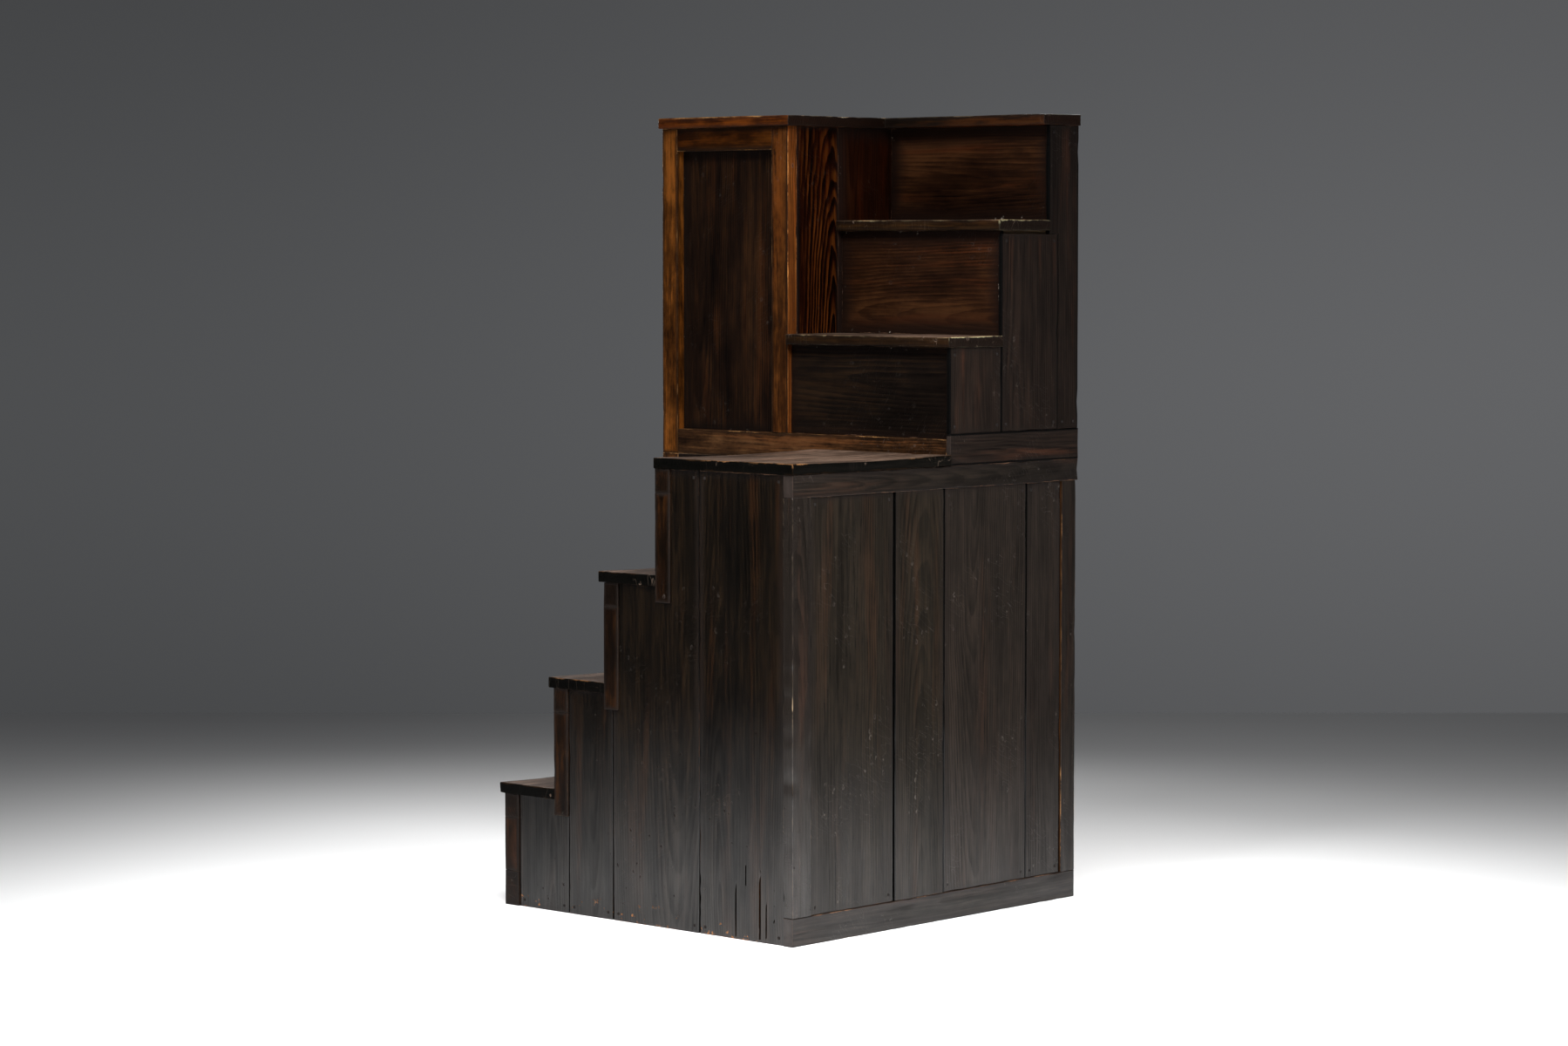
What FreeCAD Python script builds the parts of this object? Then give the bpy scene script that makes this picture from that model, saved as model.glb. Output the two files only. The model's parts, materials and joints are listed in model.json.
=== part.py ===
import FreeCAD, Part
import Sketcher
import math
import os

# Corner step chest in two stacked sections, in millimetres.
# Every place is first given from the near bottom corner, where the two wall sides meet:
# x runs along the right wall side, y along the left wall side, z is up.
# Each finished sub-part then moves to the middle of the footprint.

doc = FreeCAD.newDocument("StepChest")

# Driving sizes

drivingSizes = {
    # whole chest
    "LowerLength": 968, "UpperOverhang": 8, "ChestDeep": 890, "FlightWide": 521,
    "BoardThick": 24, "SideLap": 2, "EdgeRound": 3, "TreadWear": 4, "WearMargin": 20,
    # rises of the stair, each from the level below it, and places
    "TreadOneRise": 280, "TreadTwoRise": 253, "TreadThreeRise": 248, "PlatformRise": 259,
    "UpperRiseOne": 262, "UpperRiseTwo": 261, "HeadHigh": 240,
    "PlatformDeep": 410, "HeadDeep": 107, "NicheWide": 490,
    "TreadNose": 14, "PlatformNose": 2, "UpperNose": 8, "TopFrontLap": 12, "TopNicheLap": 24,
    # wall side frames
    "PostWide": 60, "StileWide": 50, "RailThick": 28, "BottomRailHigh": 62, "TopRailHigh": 50,
    "TenonLong": 16, "TenonThick": 10, "TenonShoulder": 10,
    "PlankThick": 10, "PlankInset": 4, "PlankGap": 0.6, "CleatSide": 25, "BearerSide": 25,
    "LeftPlankTurn": 24, "LeftPlankFourWide": 251,
    "RightPlankOneWide": 274, "RightPlankTwoWide": 169, "RightPlankFourWide": 124,
    # riser frames of the lower flight
    "RiserStileWide": 44, "RiserRailHigh": 54, "RiserBaseHigh": 80, "RiserTail": 36,
    "RiserPanelThick": 10, "RiserRecess": 13,
    # upper section
    "FrontFrameThick": 31, "FrontStileWide": 48, "NicheStileWide": 51,
    "FrontRailHigh": 58, "UpperTopRailHigh": 54, "FrontPanelRecess": 23,
    "PanelThick": 8, "PanelGroove": 7, "UpperBaseHigh": 70, "UpperBaseThick": 12,
    "UpperSideInset": 2, "UpperPlankTurn": 6, "RearBoardTurn": 35, "PlankDrop": 8,
    "WallThick": 10, "WallBoardWide": 261,
    # room side frame
    "RoomRailThick": 50, "MiddleRailLow": 290, "MiddleRailHigh": 40, "MuntinWide": 30,
    "DividerThick": 14, "FloorThick": 14, "EndPanelInset": 9,
    # sliding doors
    "DoorThick": 16, "DoorGap": 2.5, "DoorInset": 2, "DoorEndGap": 0.3, "DoorOverlap": 40,
    "TongueThick": 7, "GrooveWide": 8, "TopGrooveDeep": 14, "BottomGrooveDeep": 5,
    "DoorLift": 6, "DoorFloat": 0.3, "DoorStileWide": 40, "DoorRailHigh": 46,
    "DoorPanelThick": 5, "BattenHigh": 12, "BattenThick": 4,
    "CupWide": 22, "CupHigh": 66, "CupDeep": 9, "CupWall": 1, "CupLip": 3, "CupLipThick": 0.8,
    # drawers
    "DrawerInset": 2, "DrawerFrontThick": 18, "DrawerSideThick": 12, "DrawerBottomThick": 8,
    "DrawerBackThick": 12, "DrawerRearGap": 20, "DrawerSideGap": 1.5, "DrawerTopGap": 2,
    "DrawerFloat": 0.3, "DrawerGroove": 6, "DrawerBottomLift": 10,
    "TailLong": 12, "TailHigh": 34, "TailFlare": 5,
    # iron pulls of the drawers
    "PullSpan": 96, "PullPostSide": 11, "PullPostLong": 20, "PullHoleBack": 6,
    "PullPlateRound": 26, "PullPlateThick": 1.6, "PullBar": 6, "PullHoleGap": 0.3,
    "PullDrop": 46, "PullFoot": 22, "PullPinLong": 7, "PullEyeOut": 14,
    # nails
    "NailSide": 7, "NailThick": 1, "NailEdge": 16,
}
lowerTreads, upperTreads = 3, 2
tailCount = 4
battenCount = 3
pullHeightShare = 0.6
mitreShare = math.tan(math.pi / 8)

sheet = doc.addObject("Spreadsheet::Sheet", "Sizes")
for row, (alias, value) in enumerate(drivingSizes.items(), 1):
    sheet.set("A%d" % row, str(value))
    sheet.setAlias("A%d" % row, alias)


class Length:
    """A length with the formula that the document keeps and its present value."""

    def __init__(self, text, value):
        self.text, self.value = text, value

    def mix(self, other, sign, value, swapped=False):
        text = other.text if isinstance(other, Length) else repr(other)
        pair = (text, self.text) if swapped else (self.text, text)
        return Length("(%s %s %s)" % (pair[0], sign, pair[1]), value)

    def __add__(self, other):
        return self.mix(other, "+", self.value + plain(other))

    def __radd__(self, other):
        return self.mix(other, "+", self.value + plain(other), True)

    def __sub__(self, other):
        return self.mix(other, "-", self.value - plain(other))

    def __rsub__(self, other):
        return self.mix(other, "-", plain(other) - self.value, True)

    def __mul__(self, other):
        return self.mix(other, "*", self.value * plain(other))

    def __truediv__(self, other):
        return self.mix(other, "/", self.value / plain(other))

    def __neg__(self):
        return Length("(0 - %s)" % self.text, -self.value)


def plain(length):
    return length.value if isinstance(length, Length) else length


class Sizes:
    """The sheet's sizes by name."""


size = Sizes()
for alias, value in drivingSizes.items():
    setattr(size, alias, Length("Sizes." + alias, value))

# Places worked out from the driving sizes

treadTwoTop = size.TreadOneRise + size.TreadTwoRise
treadThreeTop = treadTwoTop + size.TreadThreeRise
platformTop = treadThreeTop + size.PlatformRise
upperTopOne = platformTop + size.UpperRiseOne
upperTopTwo = upperTopOne + size.UpperRiseTwo
lowerTop = platformTop - size.BoardThick
topUnder = upperTopTwo + size.HeadHigh - size.BoardThick
treadTops = [size.TreadOneRise, treadTwoTop, treadThreeTop, platformTop]
treadUnders = [top - size.BoardThick for top in treadTops]
lowerGoing = (size.ChestDeep - size.PlatformDeep) / lowerTreads
riserFaces = [size.ChestDeep - lowerGoing * number for number in range(lowerTreads + 1)]
riserBacks = [face - size.RiserStileWide for face in riserFaces]
riserTails = [under - size.RiserTail for under in treadUnders]
upperUnderOne = upperTopOne - size.BoardThick
upperUnderTwo = upperTopTwo - size.BoardThick
upperLength = size.LowerLength + size.UpperOverhang
upperGoing = (upperLength - size.FlightWide - size.HeadDeep) / upperTreads
riserTwoFace = size.FlightWide + upperGoing
riserThreeFace = upperLength - size.HeadDeep
upperJointOne = riserTwoFace + size.UpperPlankTurn
upperJointTwo = riserThreeFace + size.RearBoardTurn
leftJointTwo = riserFaces[2] - size.LeftPlankTurn
leftJointThree = size.RailThick + size.LeftPlankFourWide
plankBack = size.PlankInset + size.PlankThick
panelBack = size.RiserRecess + size.RiserPanelThick
openingLow = size.StileWide
openingHigh = size.ChestDeep - size.StileWide
openingWide = openingHigh - openingLow
drawerFace = size.LowerLength - size.DrawerInset
pullReach = size.PullPlateThick + size.PullPostLong
middleAcross = (drawerFace + pullReach - size.SideLap) / 2
middleDeep = (size.ChestDeep + size.TreadNose - size.SideLap) / 2

nodes = []


def bind(thing, prop, length):
    """Ties a property to a length, or sets it where the length is zero."""
    if isinstance(length, Length):
        thing.setExpression(prop, length.text)


def place(thing, low, shift=False):
    """Puts a thing at a corner, measured from the near corner or from the footprint's middle."""
    middles = (middleAcross, middleDeep, 0) if shift else (0, 0, 0)
    for axis, start, middle in zip("xyz", low, middles):
        bind(thing, "Placement.Base." + axis, start - middle)


def keep(thing, name):
    """Makes a thing a sub-part of the chest, with a label of its own for its file."""
    thing.Label = name
    nodes.append(thing)
    return thing


def seat(thing, name):
    """Keeps a thing that was made at its place from the near corner."""
    place(thing, (0, 0, 0), shift=True)
    return keep(thing, name)


def block(low, extent, shift=False):
    """A piece with square edges."""
    thing = doc.addObject("Part::Box", "Block")
    for prop, length in zip(("Length", "Width", "Height"), extent):
        bind(thing, prop, length)
    place(thing, low, shift)
    return thing


def keep_block(name, low, extent):
    return keep(block(low, extent, shift=True), name)


def disc(low, across, thick, axis):
    """A round piece that rises from a point along an axis."""
    thing = doc.addObject("Part::Cylinder", "Disc")
    bind(thing, "Radius", across / 2)
    bind(thing, "Height", thick)
    way = FreeCAD.Vector(axis == "x", axis == "y", axis == "z")
    thing.Placement.Rotation = FreeCAD.Rotation(FreeCAD.Vector(0, 0, 1), way)
    place(thing, low)
    return thing


def joined(pieces):
    thing = doc.addObject("Part::MultiFuse", "Joined")
    thing.Shapes = pieces
    return thing


def grouped(pieces):
    thing = doc.addObject("Part::Compound", "Group")
    thing.Links = pieces
    return thing


def without(base, tools):
    """A piece less the tenons, tongues or panels that are let into it."""
    thing = doc.addObject("Part::Cut", "Cut")
    thing.Base = base
    thing.Tool = tools[0] if len(tools) == 1 else grouped(tools)
    return thing


def sketch_on(body, role):
    plane = [item for item in body.Origin.OriginFeatures if item.Role == role][0]
    sketch = body.newObject("Sketcher::SketchObject", "Outline")
    sketch.AttachmentSupport = [(plane, "")]
    sketch.MapMode = "FlatFace"
    return sketch


def tie_constraint(sketch, constraint, length):
    index = sketch.addConstraint(constraint)
    if isinstance(length, Length):
        sketch.setExpression("Constraints[%d]" % index, length.text)


def pin_point(sketch, line, end, spot):
    """Ties one end of a sketch line to its two lengths."""
    for kind, length in zip(("DistanceX", "DistanceY"), spot):
        tie_constraint(sketch, Sketcher.Constraint(kind, line, end, float(plain(length))), length)


def outline(sketch, points):
    """A closed outline of straight lines, with each corner tied to its lengths."""
    corners = [FreeCAD.Vector(plain(a), plain(b), 0) for a, b in points]
    count = len(corners)
    for number in range(count):
        sketch.addGeometry(Part.LineSegment(corners[number], corners[(number + 1) % count]), False)
    for number in range(count):
        sketch.addConstraint(Sketcher.Constraint("Coincident", number, 2, (number + 1) % count, 1))
    for number, spot in enumerate(points):
        pin_point(sketch, number, 1, spot)


def board(role, points, thick, low=(0, 0, 0), shift=False):
    """A board sawn to an outline that lies in a plane, with its thickness rising from there."""
    body = doc.addObject("PartDesign::Body", "Board")
    sketch = sketch_on(body, role)
    outline(sketch, points)
    pad = body.newObject("PartDesign::Pad", "Pad")
    pad.Profile = sketch
    pad.Reversed = role == "XZ_Plane"
    bind(pad, "Length", thick)
    place(body, low, shift)
    return body


def wear(body, low, high, top, depth):
    """Hollows the top of a tread between two sides, as feet do, by a shallow arc."""
    sketch = sketch_on(body, "XZ_Plane")
    start = FreeCAD.Vector(plain(low), plain(top), 0)
    end = FreeCAD.Vector(plain(high), plain(top), 0)
    bottom = FreeCAD.Vector(plain((low + high) / 2), plain(top - depth), 0)
    sketch.addGeometry(Part.LineSegment(end, start), False)
    sketch.addGeometry(Part.Arc(start, bottom, end), False)
    pin_point(sketch, 0, 1, (high, top))
    pin_point(sketch, 0, 2, (low, top))
    arcStart, arcEnd = (1, 2) if sketch.Geometry[1].StartPoint.isEqual(start, plain(depth) / 2) else (2, 1)
    sketch.addConstraint(Sketcher.Constraint("Coincident", 0, 2, 1, arcStart))
    sketch.addConstraint(Sketcher.Constraint("Coincident", 0, 1, 1, arcEnd))
    chord = high - low
    radius = chord * chord / (depth * 8) + depth / 2
    tie_constraint(sketch, Sketcher.Constraint("Radius", 1, plain(radius)), radius)
    hollow = body.newObject("PartDesign::Pocket", "Wear")
    hollow.Profile = sketch
    hollow.Type = 1
    hollow.Midplane = True


def ease_nose(body, axis, nose):
    """Rounds the upper and lower edges of a board's front."""
    doc.recompute()
    base = body.Tip
    chosen = []
    for number, edge in enumerate(base.Shape.Edges, 1):
        ends = [vertex.Point for vertex in edge.Vertexes]
        onNose = all(abs(getattr(end, axis) - plain(nose)) < plain(size.EdgeRound / 10) for end in ends)
        if onNose and abs(ends[0].z - ends[-1].z) < plain(size.BoardThick / 2):
            chosen.append("Edge%d" % number)
    rounding = body.newObject("PartDesign::Fillet", "Ease")
    rounding.Base = (base, chosen)
    bind(rounding, "Radius", size.EdgeRound)
    return body


def tenons(low, extent, axes, ends):
    """The tenons of a bar: axes names the way it lies and the way it is thin."""
    along, thin = "xyz".index(axes[0]), "xyz".index(axes[1])
    wide = (set(range(3)) - {along, thin}).pop()
    pair = []
    for start in (low[along] - size.TenonLong, low[along] + extent[along]):
        spot, reach = list(low), list(extent)
        spot[along], reach[along] = start, size.TenonLong
        spot[thin] = low[thin] + (extent[thin] - size.TenonThick) / 2
        reach[thin] = size.TenonThick
        spot[wide] = low[wide] + size.TenonShoulder
        reach[wide] = extent[wide] - size.TenonShoulder * 2
        pair.append((spot, reach))
    return [block(*pair[end]) for end in ends]


def bar(low, extent, axes, ends=(0, 1)):
    """A bar with tenons, and the tenons by themselves for the pieces that take them."""
    tongues = tenons(low, extent, axes, ends)
    return joined([block(low, extent)] + tongues), tongues


# Right wall side of the lower section: long rails over and under a post and planks

rearStileLow = size.LowerLength - size.StileWide
rightRailLow = lowerTop - size.TopRailHigh
rightPlankHigh = rightRailLow - size.BottomRailHigh

nearPost, nearTenons = bar((0, 0, size.BottomRailHigh),
                           (size.PostWide, size.RailThick, rightPlankHigh), "zy")
seat(nearPost, "near_corner_post")
rightBottomRail = block((0, 0, 0), (size.LowerLength, size.RailThick, size.BottomRailHigh))
rightTopRail = block((0, 0, rightRailLow), (upperLength, size.RailThick, size.TopRailHigh))
seat(without(rightBottomRail, nearTenons[:1]), "right_bottom_rail")
seat(without(rightTopRail, nearTenons[1:]), "right_top_rail")

rightJointOne = size.PostWide + size.RightPlankOneWide
rightJoints = [size.PostWide, rightJointOne, rightJointOne + size.RightPlankTwoWide,
               rearStileLow - size.RightPlankFourWide, rearStileLow]
for number in range(4):
    start, end = rightJoints[number], rightJoints[number + 1]
    keep_block("right_plank_%d" % (number + 1), (start, size.PlankInset, size.BottomRailHigh),
               (end - start - size.PlankGap, size.PlankThick, rightPlankHigh))

# Left wall side of the lower section: planks sawn to the steps

leftPlankOutlines = [
    [(riserBacks[1], 0), (riserBacks[0], 0), (riserBacks[0], treadUnders[0]),
     (riserFaces[1], treadUnders[0]), (riserFaces[1], riserTails[0]), (riserBacks[1], riserTails[0])],
    [(leftJointTwo, 0), (riserBacks[1] - size.PlankGap, 0),
     (riserBacks[1] - size.PlankGap, treadUnders[1]), (riserFaces[2], treadUnders[1]),
     (riserFaces[2], riserTails[1]), (leftJointTwo, riserTails[1])],
    [(leftJointThree, 0), (leftJointTwo - size.PlankGap, 0),
     (leftJointTwo - size.PlankGap, riserTails[1]), (riserBacks[2], riserTails[1]),
     (riserBacks[2], treadUnders[2]), (riserFaces[3], treadUnders[2]),
     (riserFaces[3], riserTails[2]), (riserBacks[3], riserTails[2]),
     (riserBacks[3], lowerTop), (leftJointThree, lowerTop)],
    [(size.RailThick, 0), (leftJointThree - size.PlankGap, 0),
     (leftJointThree - size.PlankGap, lowerTop), (size.RailThick, lowerTop)],
]
for number, points in enumerate(leftPlankOutlines, 1):
    plank = board("YZ_Plane", points, size.PlankThick, (size.PlankInset, 0, 0), shift=True)
    keep(plank, "left_plank_%d" % number)

# Cleats that the wall side planks are nailed to

cleatBack = plankBack + size.CleatSide
cleats = [block((size.PostWide, plankBack, low),
                (rearStileLow - size.PostWide, size.CleatSide, size.CleatSide))
          for low in (size.BottomRailHigh, rightRailLow - size.CleatSide)]
cleats.append(block((plankBack, size.RailThick, 0),
                    (size.CleatSide, riserBacks[0] - size.RailThick, size.CleatSide)))

# Riser frames of the lower flight: two stiles under a rail, with a thin panel set back

innerStile = size.FlightWide - size.RailThick
frames, panels = [], []
for number in range(4):
    back, railLow = riserBacks[number], treadUnders[number] - size.RiserRailHigh
    foot = riserTails[number - 1] if number else size.RiserBaseHigh
    panelLow = treadTops[number - 1] if number else size.RiserBaseHigh
    frames.append(block((0, back, railLow),
                        (size.FlightWide, size.RiserStileWide, size.RiserRailHigh)))
    for side in (0, innerStile):
        frames.append(block((side, back, foot),
                            (size.RailThick, size.RiserStileWide, railLow - foot)))
    panels.append(block((size.RailThick, riserFaces[number] - panelBack, panelLow),
                        (innerStile - size.RailThick, size.RiserPanelThick, railLow - panelLow)))
frames.append(block((0, riserBacks[0], 0),
                    (size.FlightWide, size.RiserStileWide, size.RiserBaseHigh)))
seat(grouped(frames), "riser_frames")
seat(grouped(panels), "riser_panels")

# Bearers under both ends of the lower treads and the platform

for number in range(4):
    back = riserFaces[number + 1] if number < 3 else cleatBack
    for side in (plankBack, size.FlightWide - size.BearerSide):
        cleats.append(block((side, back, treadUnders[number] - size.BearerSide),
                            (size.BearerSide, riserBacks[number] - back, size.BearerSide)))

# Treads of the lower flight, notched round the stiles of the next riser, and the platform

wearLow, wearHigh = size.WearMargin, size.FlightWide - size.WearMargin


def flight_board(name, points, nose, under):
    body = board("XY_Plane", points, size.BoardThick, (0, 0, under), shift=True)
    wear(body, wearLow, wearHigh, size.BoardThick, size.TreadWear)
    keep(ease_nose(body, "y", nose), name)


for number in range(3):
    nose, face = riserFaces[number] + size.TreadNose, riserFaces[number + 1]
    back = face - panelBack
    flight_board("tread_%d" % (number + 1), [
        (-size.SideLap, nose), (-size.SideLap, face), (size.RailThick, face),
        (size.RailThick, back), (innerStile, back), (innerStile, face),
        (size.FlightWide, face), (size.FlightWide, nose)], nose, treadUnders[number])
platformNose = riserFaces[3] + size.PlatformNose
flight_board("platform", [
    (-size.SideLap, -size.SideLap), (size.FlightWide, -size.SideLap),
    (size.FlightWide, platformNose), (-size.SideLap, platformNose)], platformNose, lowerTop)

# Stair wall between the lower flight and the lower cupboard

wallJoints = [cleatBack, cleatBack + size.WallBoardWide, openingHigh - size.WallBoardWide,
              openingHigh]
seat(grouped([block((size.FlightWide, wallJoints[number], 0),
                    (size.WallThick, wallJoints[number + 1] - wallJoints[number], lowerTop))
              for number in range(3)]), "stair_wall_boards")

# Room side and end side frames, in the same way for both sections


def grooves(face, low, deep):
    """The two grooves that a pair of sliding doors runs in."""
    front = face - size.DoorInset - (size.DoorThick + size.GrooveWide) / 2
    back = front - size.DoorThick - size.DoorGap
    return [block((start, openingLow, low), (size.GrooveWide, openingWide, deep))
            for start in (front, back)]


def room_rail(face, low, high):
    return bar((face - size.RoomRailThick, openingLow, low),
               (size.RoomRailThick, openingWide, high), "yx")


endStart = size.FlightWide + size.StileWide


def end_rail(face, low, high):
    return bar((endStart, size.ChestDeep - size.RailThick, low),
               (face - size.StileWide - endStart, size.RailThick, high), "xy")


def end_panel(face, low, high):
    """The end side's panel, whose edges go into its posts and rails."""
    return block((endStart - size.PanelGroove,
                  size.ChestDeep - size.EndPanelInset - size.PanelThick, low - size.PanelGroove),
                 (face - size.StileWide - endStart + size.PanelGroove * 2, size.PanelThick,
                  high - low + size.PanelGroove * 2))


# Lower section: room side with two drawers under a pair of doors, and the end side

middleTop = size.MiddleRailLow + size.MiddleRailHigh
roomBack = size.LowerLength - size.RoomRailThick
muntinLow = (openingLow + openingHigh - size.MuntinWide) / 2
muntinHigh = muntinLow + size.MuntinWide
bottomRail, bottomTenons = room_rail(size.LowerLength, 0, size.BottomRailHigh)
middleRail, middleTenons = room_rail(size.LowerLength, size.MiddleRailLow, size.MiddleRailHigh)
topRail, topTenons = room_rail(size.LowerLength, rightRailLow, size.TopRailHigh)
muntin, muntinTenons = bar((roomBack, muntinLow, size.BottomRailHigh),
                           (size.RoomRailThick, size.MuntinWide,
                            size.MiddleRailLow - size.BottomRailHigh), "zy")
bottomGrooves = grooves(size.LowerLength, middleTop - size.BottomGrooveDeep, size.BottomGrooveDeep)
topGrooves = grooves(size.LowerLength, rightRailLow, size.TopGrooveDeep)
seat(grouped([without(bottomRail, muntinTenons[:1]), muntin,
              without(middleRail, muntinTenons[1:] + bottomGrooves),
              without(topRail, topGrooves)]), "lower_room_frame")

endPanel = end_panel(size.LowerLength, size.BottomRailHigh, rightRailLow)
endBottom, endBottomTenons = end_rail(size.LowerLength, 0, size.BottomRailHigh)
endTop, endTopTenons = end_rail(size.LowerLength, rightRailLow, size.TopRailHigh)
endRails = [without(endBottom, [endPanel]), without(endTop, [endPanel])]

roomTenons = [bottomTenons, middleTenons, topTenons]
endTenons = [endBottomTenons, endTopTenons]
postExtent = (size.StileWide, size.StileWide, lowerTop)
rearPost = without(block((rearStileLow, 0, 0), postExtent),
                   [rightBottomRail, rightTopRail] + [pair[0] for pair in roomTenons])
roomPost = without(block((rearStileLow, openingHigh, 0), postExtent),
                   [pair[1] for pair in roomTenons + endTenons] + [endPanel])
stairPost = without(block((size.FlightWide, openingHigh, 0), postExtent),
                    [pair[0] for pair in endTenons] + [endPanel])
seat(grouped([rearPost, roomPost, stairPost]), "lower_posts")

# Floors of the lower section, the divider between its drawers and its top boards

floorLow = size.FlightWide + size.WallThick
floorLong = roomBack - floorLow
floorUnder = size.BottomRailHigh - size.FloorThick
floors = [block((floorLow, openingLow, floorUnder), (floorLong, openingWide, size.FloorThick))]
for start in (openingLow, openingHigh - size.CleatSide):
    floors.append(block((floorLow, start, 0), (floorLong, size.CleatSide, floorUnder)))
floors.append(block(
    (floorLow, (openingLow + openingHigh - size.DividerThick) / 2, size.BottomRailHigh),
    (floorLong, size.DividerThick, middleTop - size.FloorThick - size.BottomRailHigh)))
seat(grouped(floors), "drawer_floor")
keep_block("cupboard_floor", (floorLow, openingLow, middleTop - size.FloorThick),
           (floorLong, openingWide, size.FloorThick))
keep_block("lower_top_boards", (floorLow, openingLow, lowerTop - size.FloorThick),
           (floorLong, openingWide, size.FloorThick))

# Front frame of the upper section, whose left post it shares with the end side

nicheHigh = size.NicheWide + size.NicheStileWide
cornerLow = size.ChestDeep - size.FrontStileWide
frontRailTop = lowerTop + size.FrontRailHigh
upperRailLow = topUnder - size.UpperTopRailHigh
upperHigh = topUnder - lowerTop
frontPanel = block((size.FlightWide + size.FrontPanelRecess, nicheHigh - size.PanelGroove,
                    frontRailTop - size.PanelGroove),
                   (size.PanelThick, cornerLow - nicheHigh + size.PanelGroove * 2,
                    upperRailLow - frontRailTop + size.PanelGroove * 2))
frontTop, frontTopTenons = bar(
    (size.FlightWide, nicheHigh, upperRailLow),
    (size.FrontFrameThick, cornerLow - nicheHigh, size.UpperTopRailHigh), "yx")
frontBottom, frontBottomTenons = bar(
    (size.FlightWide, size.UpperBaseThick, lowerTop),
    (size.FrontFrameThick, cornerLow - size.UpperBaseThick, size.FrontRailHigh), "yx", ends=(1,))
nicheStile, nicheTenons = bar(
    (size.FlightWide, size.NicheWide, frontRailTop),
    (size.FrontFrameThick, size.NicheStileWide, topUnder - frontRailTop), "zx", ends=(0,))
seat(without(frontTop, [frontPanel]), "upper_front_top_rail")
seat(without(frontBottom, [frontPanel] + nicheTenons), "upper_front_bottom_rail")
seat(without(nicheStile, [frontPanel, frontTopTenons[0]]), "niche_stile")
seat(grouped([frontPanel]), "upper_front_panel")

upperEndPanel = end_panel(upperLength, frontRailTop, upperRailLow)
upperEndBottom, upperEndBottomTenons = end_rail(upperLength, lowerTop, size.FrontRailHigh)
upperEndTop, upperEndTopTenons = end_rail(upperLength, upperRailLow, size.UpperTopRailHigh)
upperEndTenons = [upperEndBottomTenons, upperEndTopTenons]
endRails += [without(upperEndBottom, [upperEndPanel]), without(upperEndTop, [upperEndPanel])]
seat(grouped(endRails), "end_rails")
seat(grouped([endPanel, upperEndPanel]), "end_panels")
cornerPost = block((size.FlightWide, cornerLow, lowerTop),
                   (size.StileWide, size.FrontStileWide, upperHigh))
seat(without(cornerPost, [frontPanel, frontTopTenons[1], frontBottomTenons[0], upperEndPanel]
             + [pair[0] for pair in upperEndTenons]), "upper_corner_post")

# Room side of the upper section: one pair of doors

upperPostLow = upperLength - size.StileWide
upperBottom, upperBottomTenons = room_rail(upperLength, lowerTop, size.FrontRailHigh)
upperTop, upperTopTenons = room_rail(upperLength, upperRailLow, size.UpperTopRailHigh)
upperTenons = [upperBottomTenons, upperTopTenons]
upperRearPost = without(block((upperPostLow, size.UpperBaseThick, lowerTop),
                              (size.StileWide, openingLow - size.UpperBaseThick, upperHigh)),
                        [pair[0] for pair in upperTenons])
upperRoomPost = without(block((upperPostLow, openingHigh, lowerTop),
                              (size.StileWide, size.StileWide, upperHigh)),
                        [pair[1] for pair in upperTenons + upperEndTenons] + [upperEndPanel])
upperBottomGrooves = grooves(upperLength, frontRailTop - size.BottomGrooveDeep,
                             size.BottomGrooveDeep)
upperTopGrooves = grooves(upperLength, upperRailLow, size.TopGrooveDeep)
seat(grouped([upperRearPost, upperRoomPost, without(upperBottom, upperBottomGrooves),
              without(upperTop, upperTopGrooves)]), "upper_room_frame")
upperBack = upperLength - size.RoomRailThick
frameBack = size.FlightWide + size.FrontFrameThick
keep_block("upper_floor", (frameBack, openingLow, lowerTop),
           (upperBack - frameBack, openingWide, size.FloorThick))

# Upper flight: riser panels, treads and their bearers, and the wall beside them

risers = [(size.FlightWide, frontRailTop, upperUnderOne),
          (riserTwoFace, upperTopOne, upperUnderTwo),
          (riserThreeFace, upperTopTwo, topUnder)]
for number, (face, low, high) in enumerate(risers, 1):
    keep_block("upper_riser_panel_%d" % number, (face + size.RiserRecess, size.UpperBaseThick, low),
               (size.RiserPanelThick, size.NicheWide - size.UpperBaseThick, high - low))

treads = [(size.FlightWide, upperJointOne, riserTwoFace, upperUnderOne),
          (riserTwoFace, riserThreeFace, riserThreeFace, upperUnderTwo)]
for number, (face, sideEnd, nextFace, under) in enumerate(treads, 1):
    nose, back = face - size.UpperNose, nextFace + panelBack
    tread = board("XY_Plane", [
        (nose, -size.SideLap), (sideEnd, -size.SideLap), (sideEnd, size.UpperBaseThick),
        (back, size.UpperBaseThick), (back, size.NicheWide), (nose, size.NicheWide)],
        size.BoardThick, (0, 0, under), shift=True)
    keep(ease_nose(tread, "x", nose), "upper_tread_%d" % number)
    for side in (size.UpperBaseThick, size.NicheWide - size.BearerSide):
        cleats.append(block((face + panelBack, side, under - size.BearerSide),
                            (nextFace - face, size.BearerSide, size.BearerSide)))
seat(grouped(cleats), "cleats_and_bearers")

nicheBoardLow = lowerTop + size.FloorThick
for number, (start, end) in enumerate([(frameBack, riserTwoFace - size.PlankGap),
                                       (riserTwoFace, upperBack)], 1):
    keep_block("niche_board_%d" % number, (start, size.NicheWide, nicheBoardLow),
               (end - start, size.WallThick, topUnder - nicheBoardLow))

# Right wall side of the upper section

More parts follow.
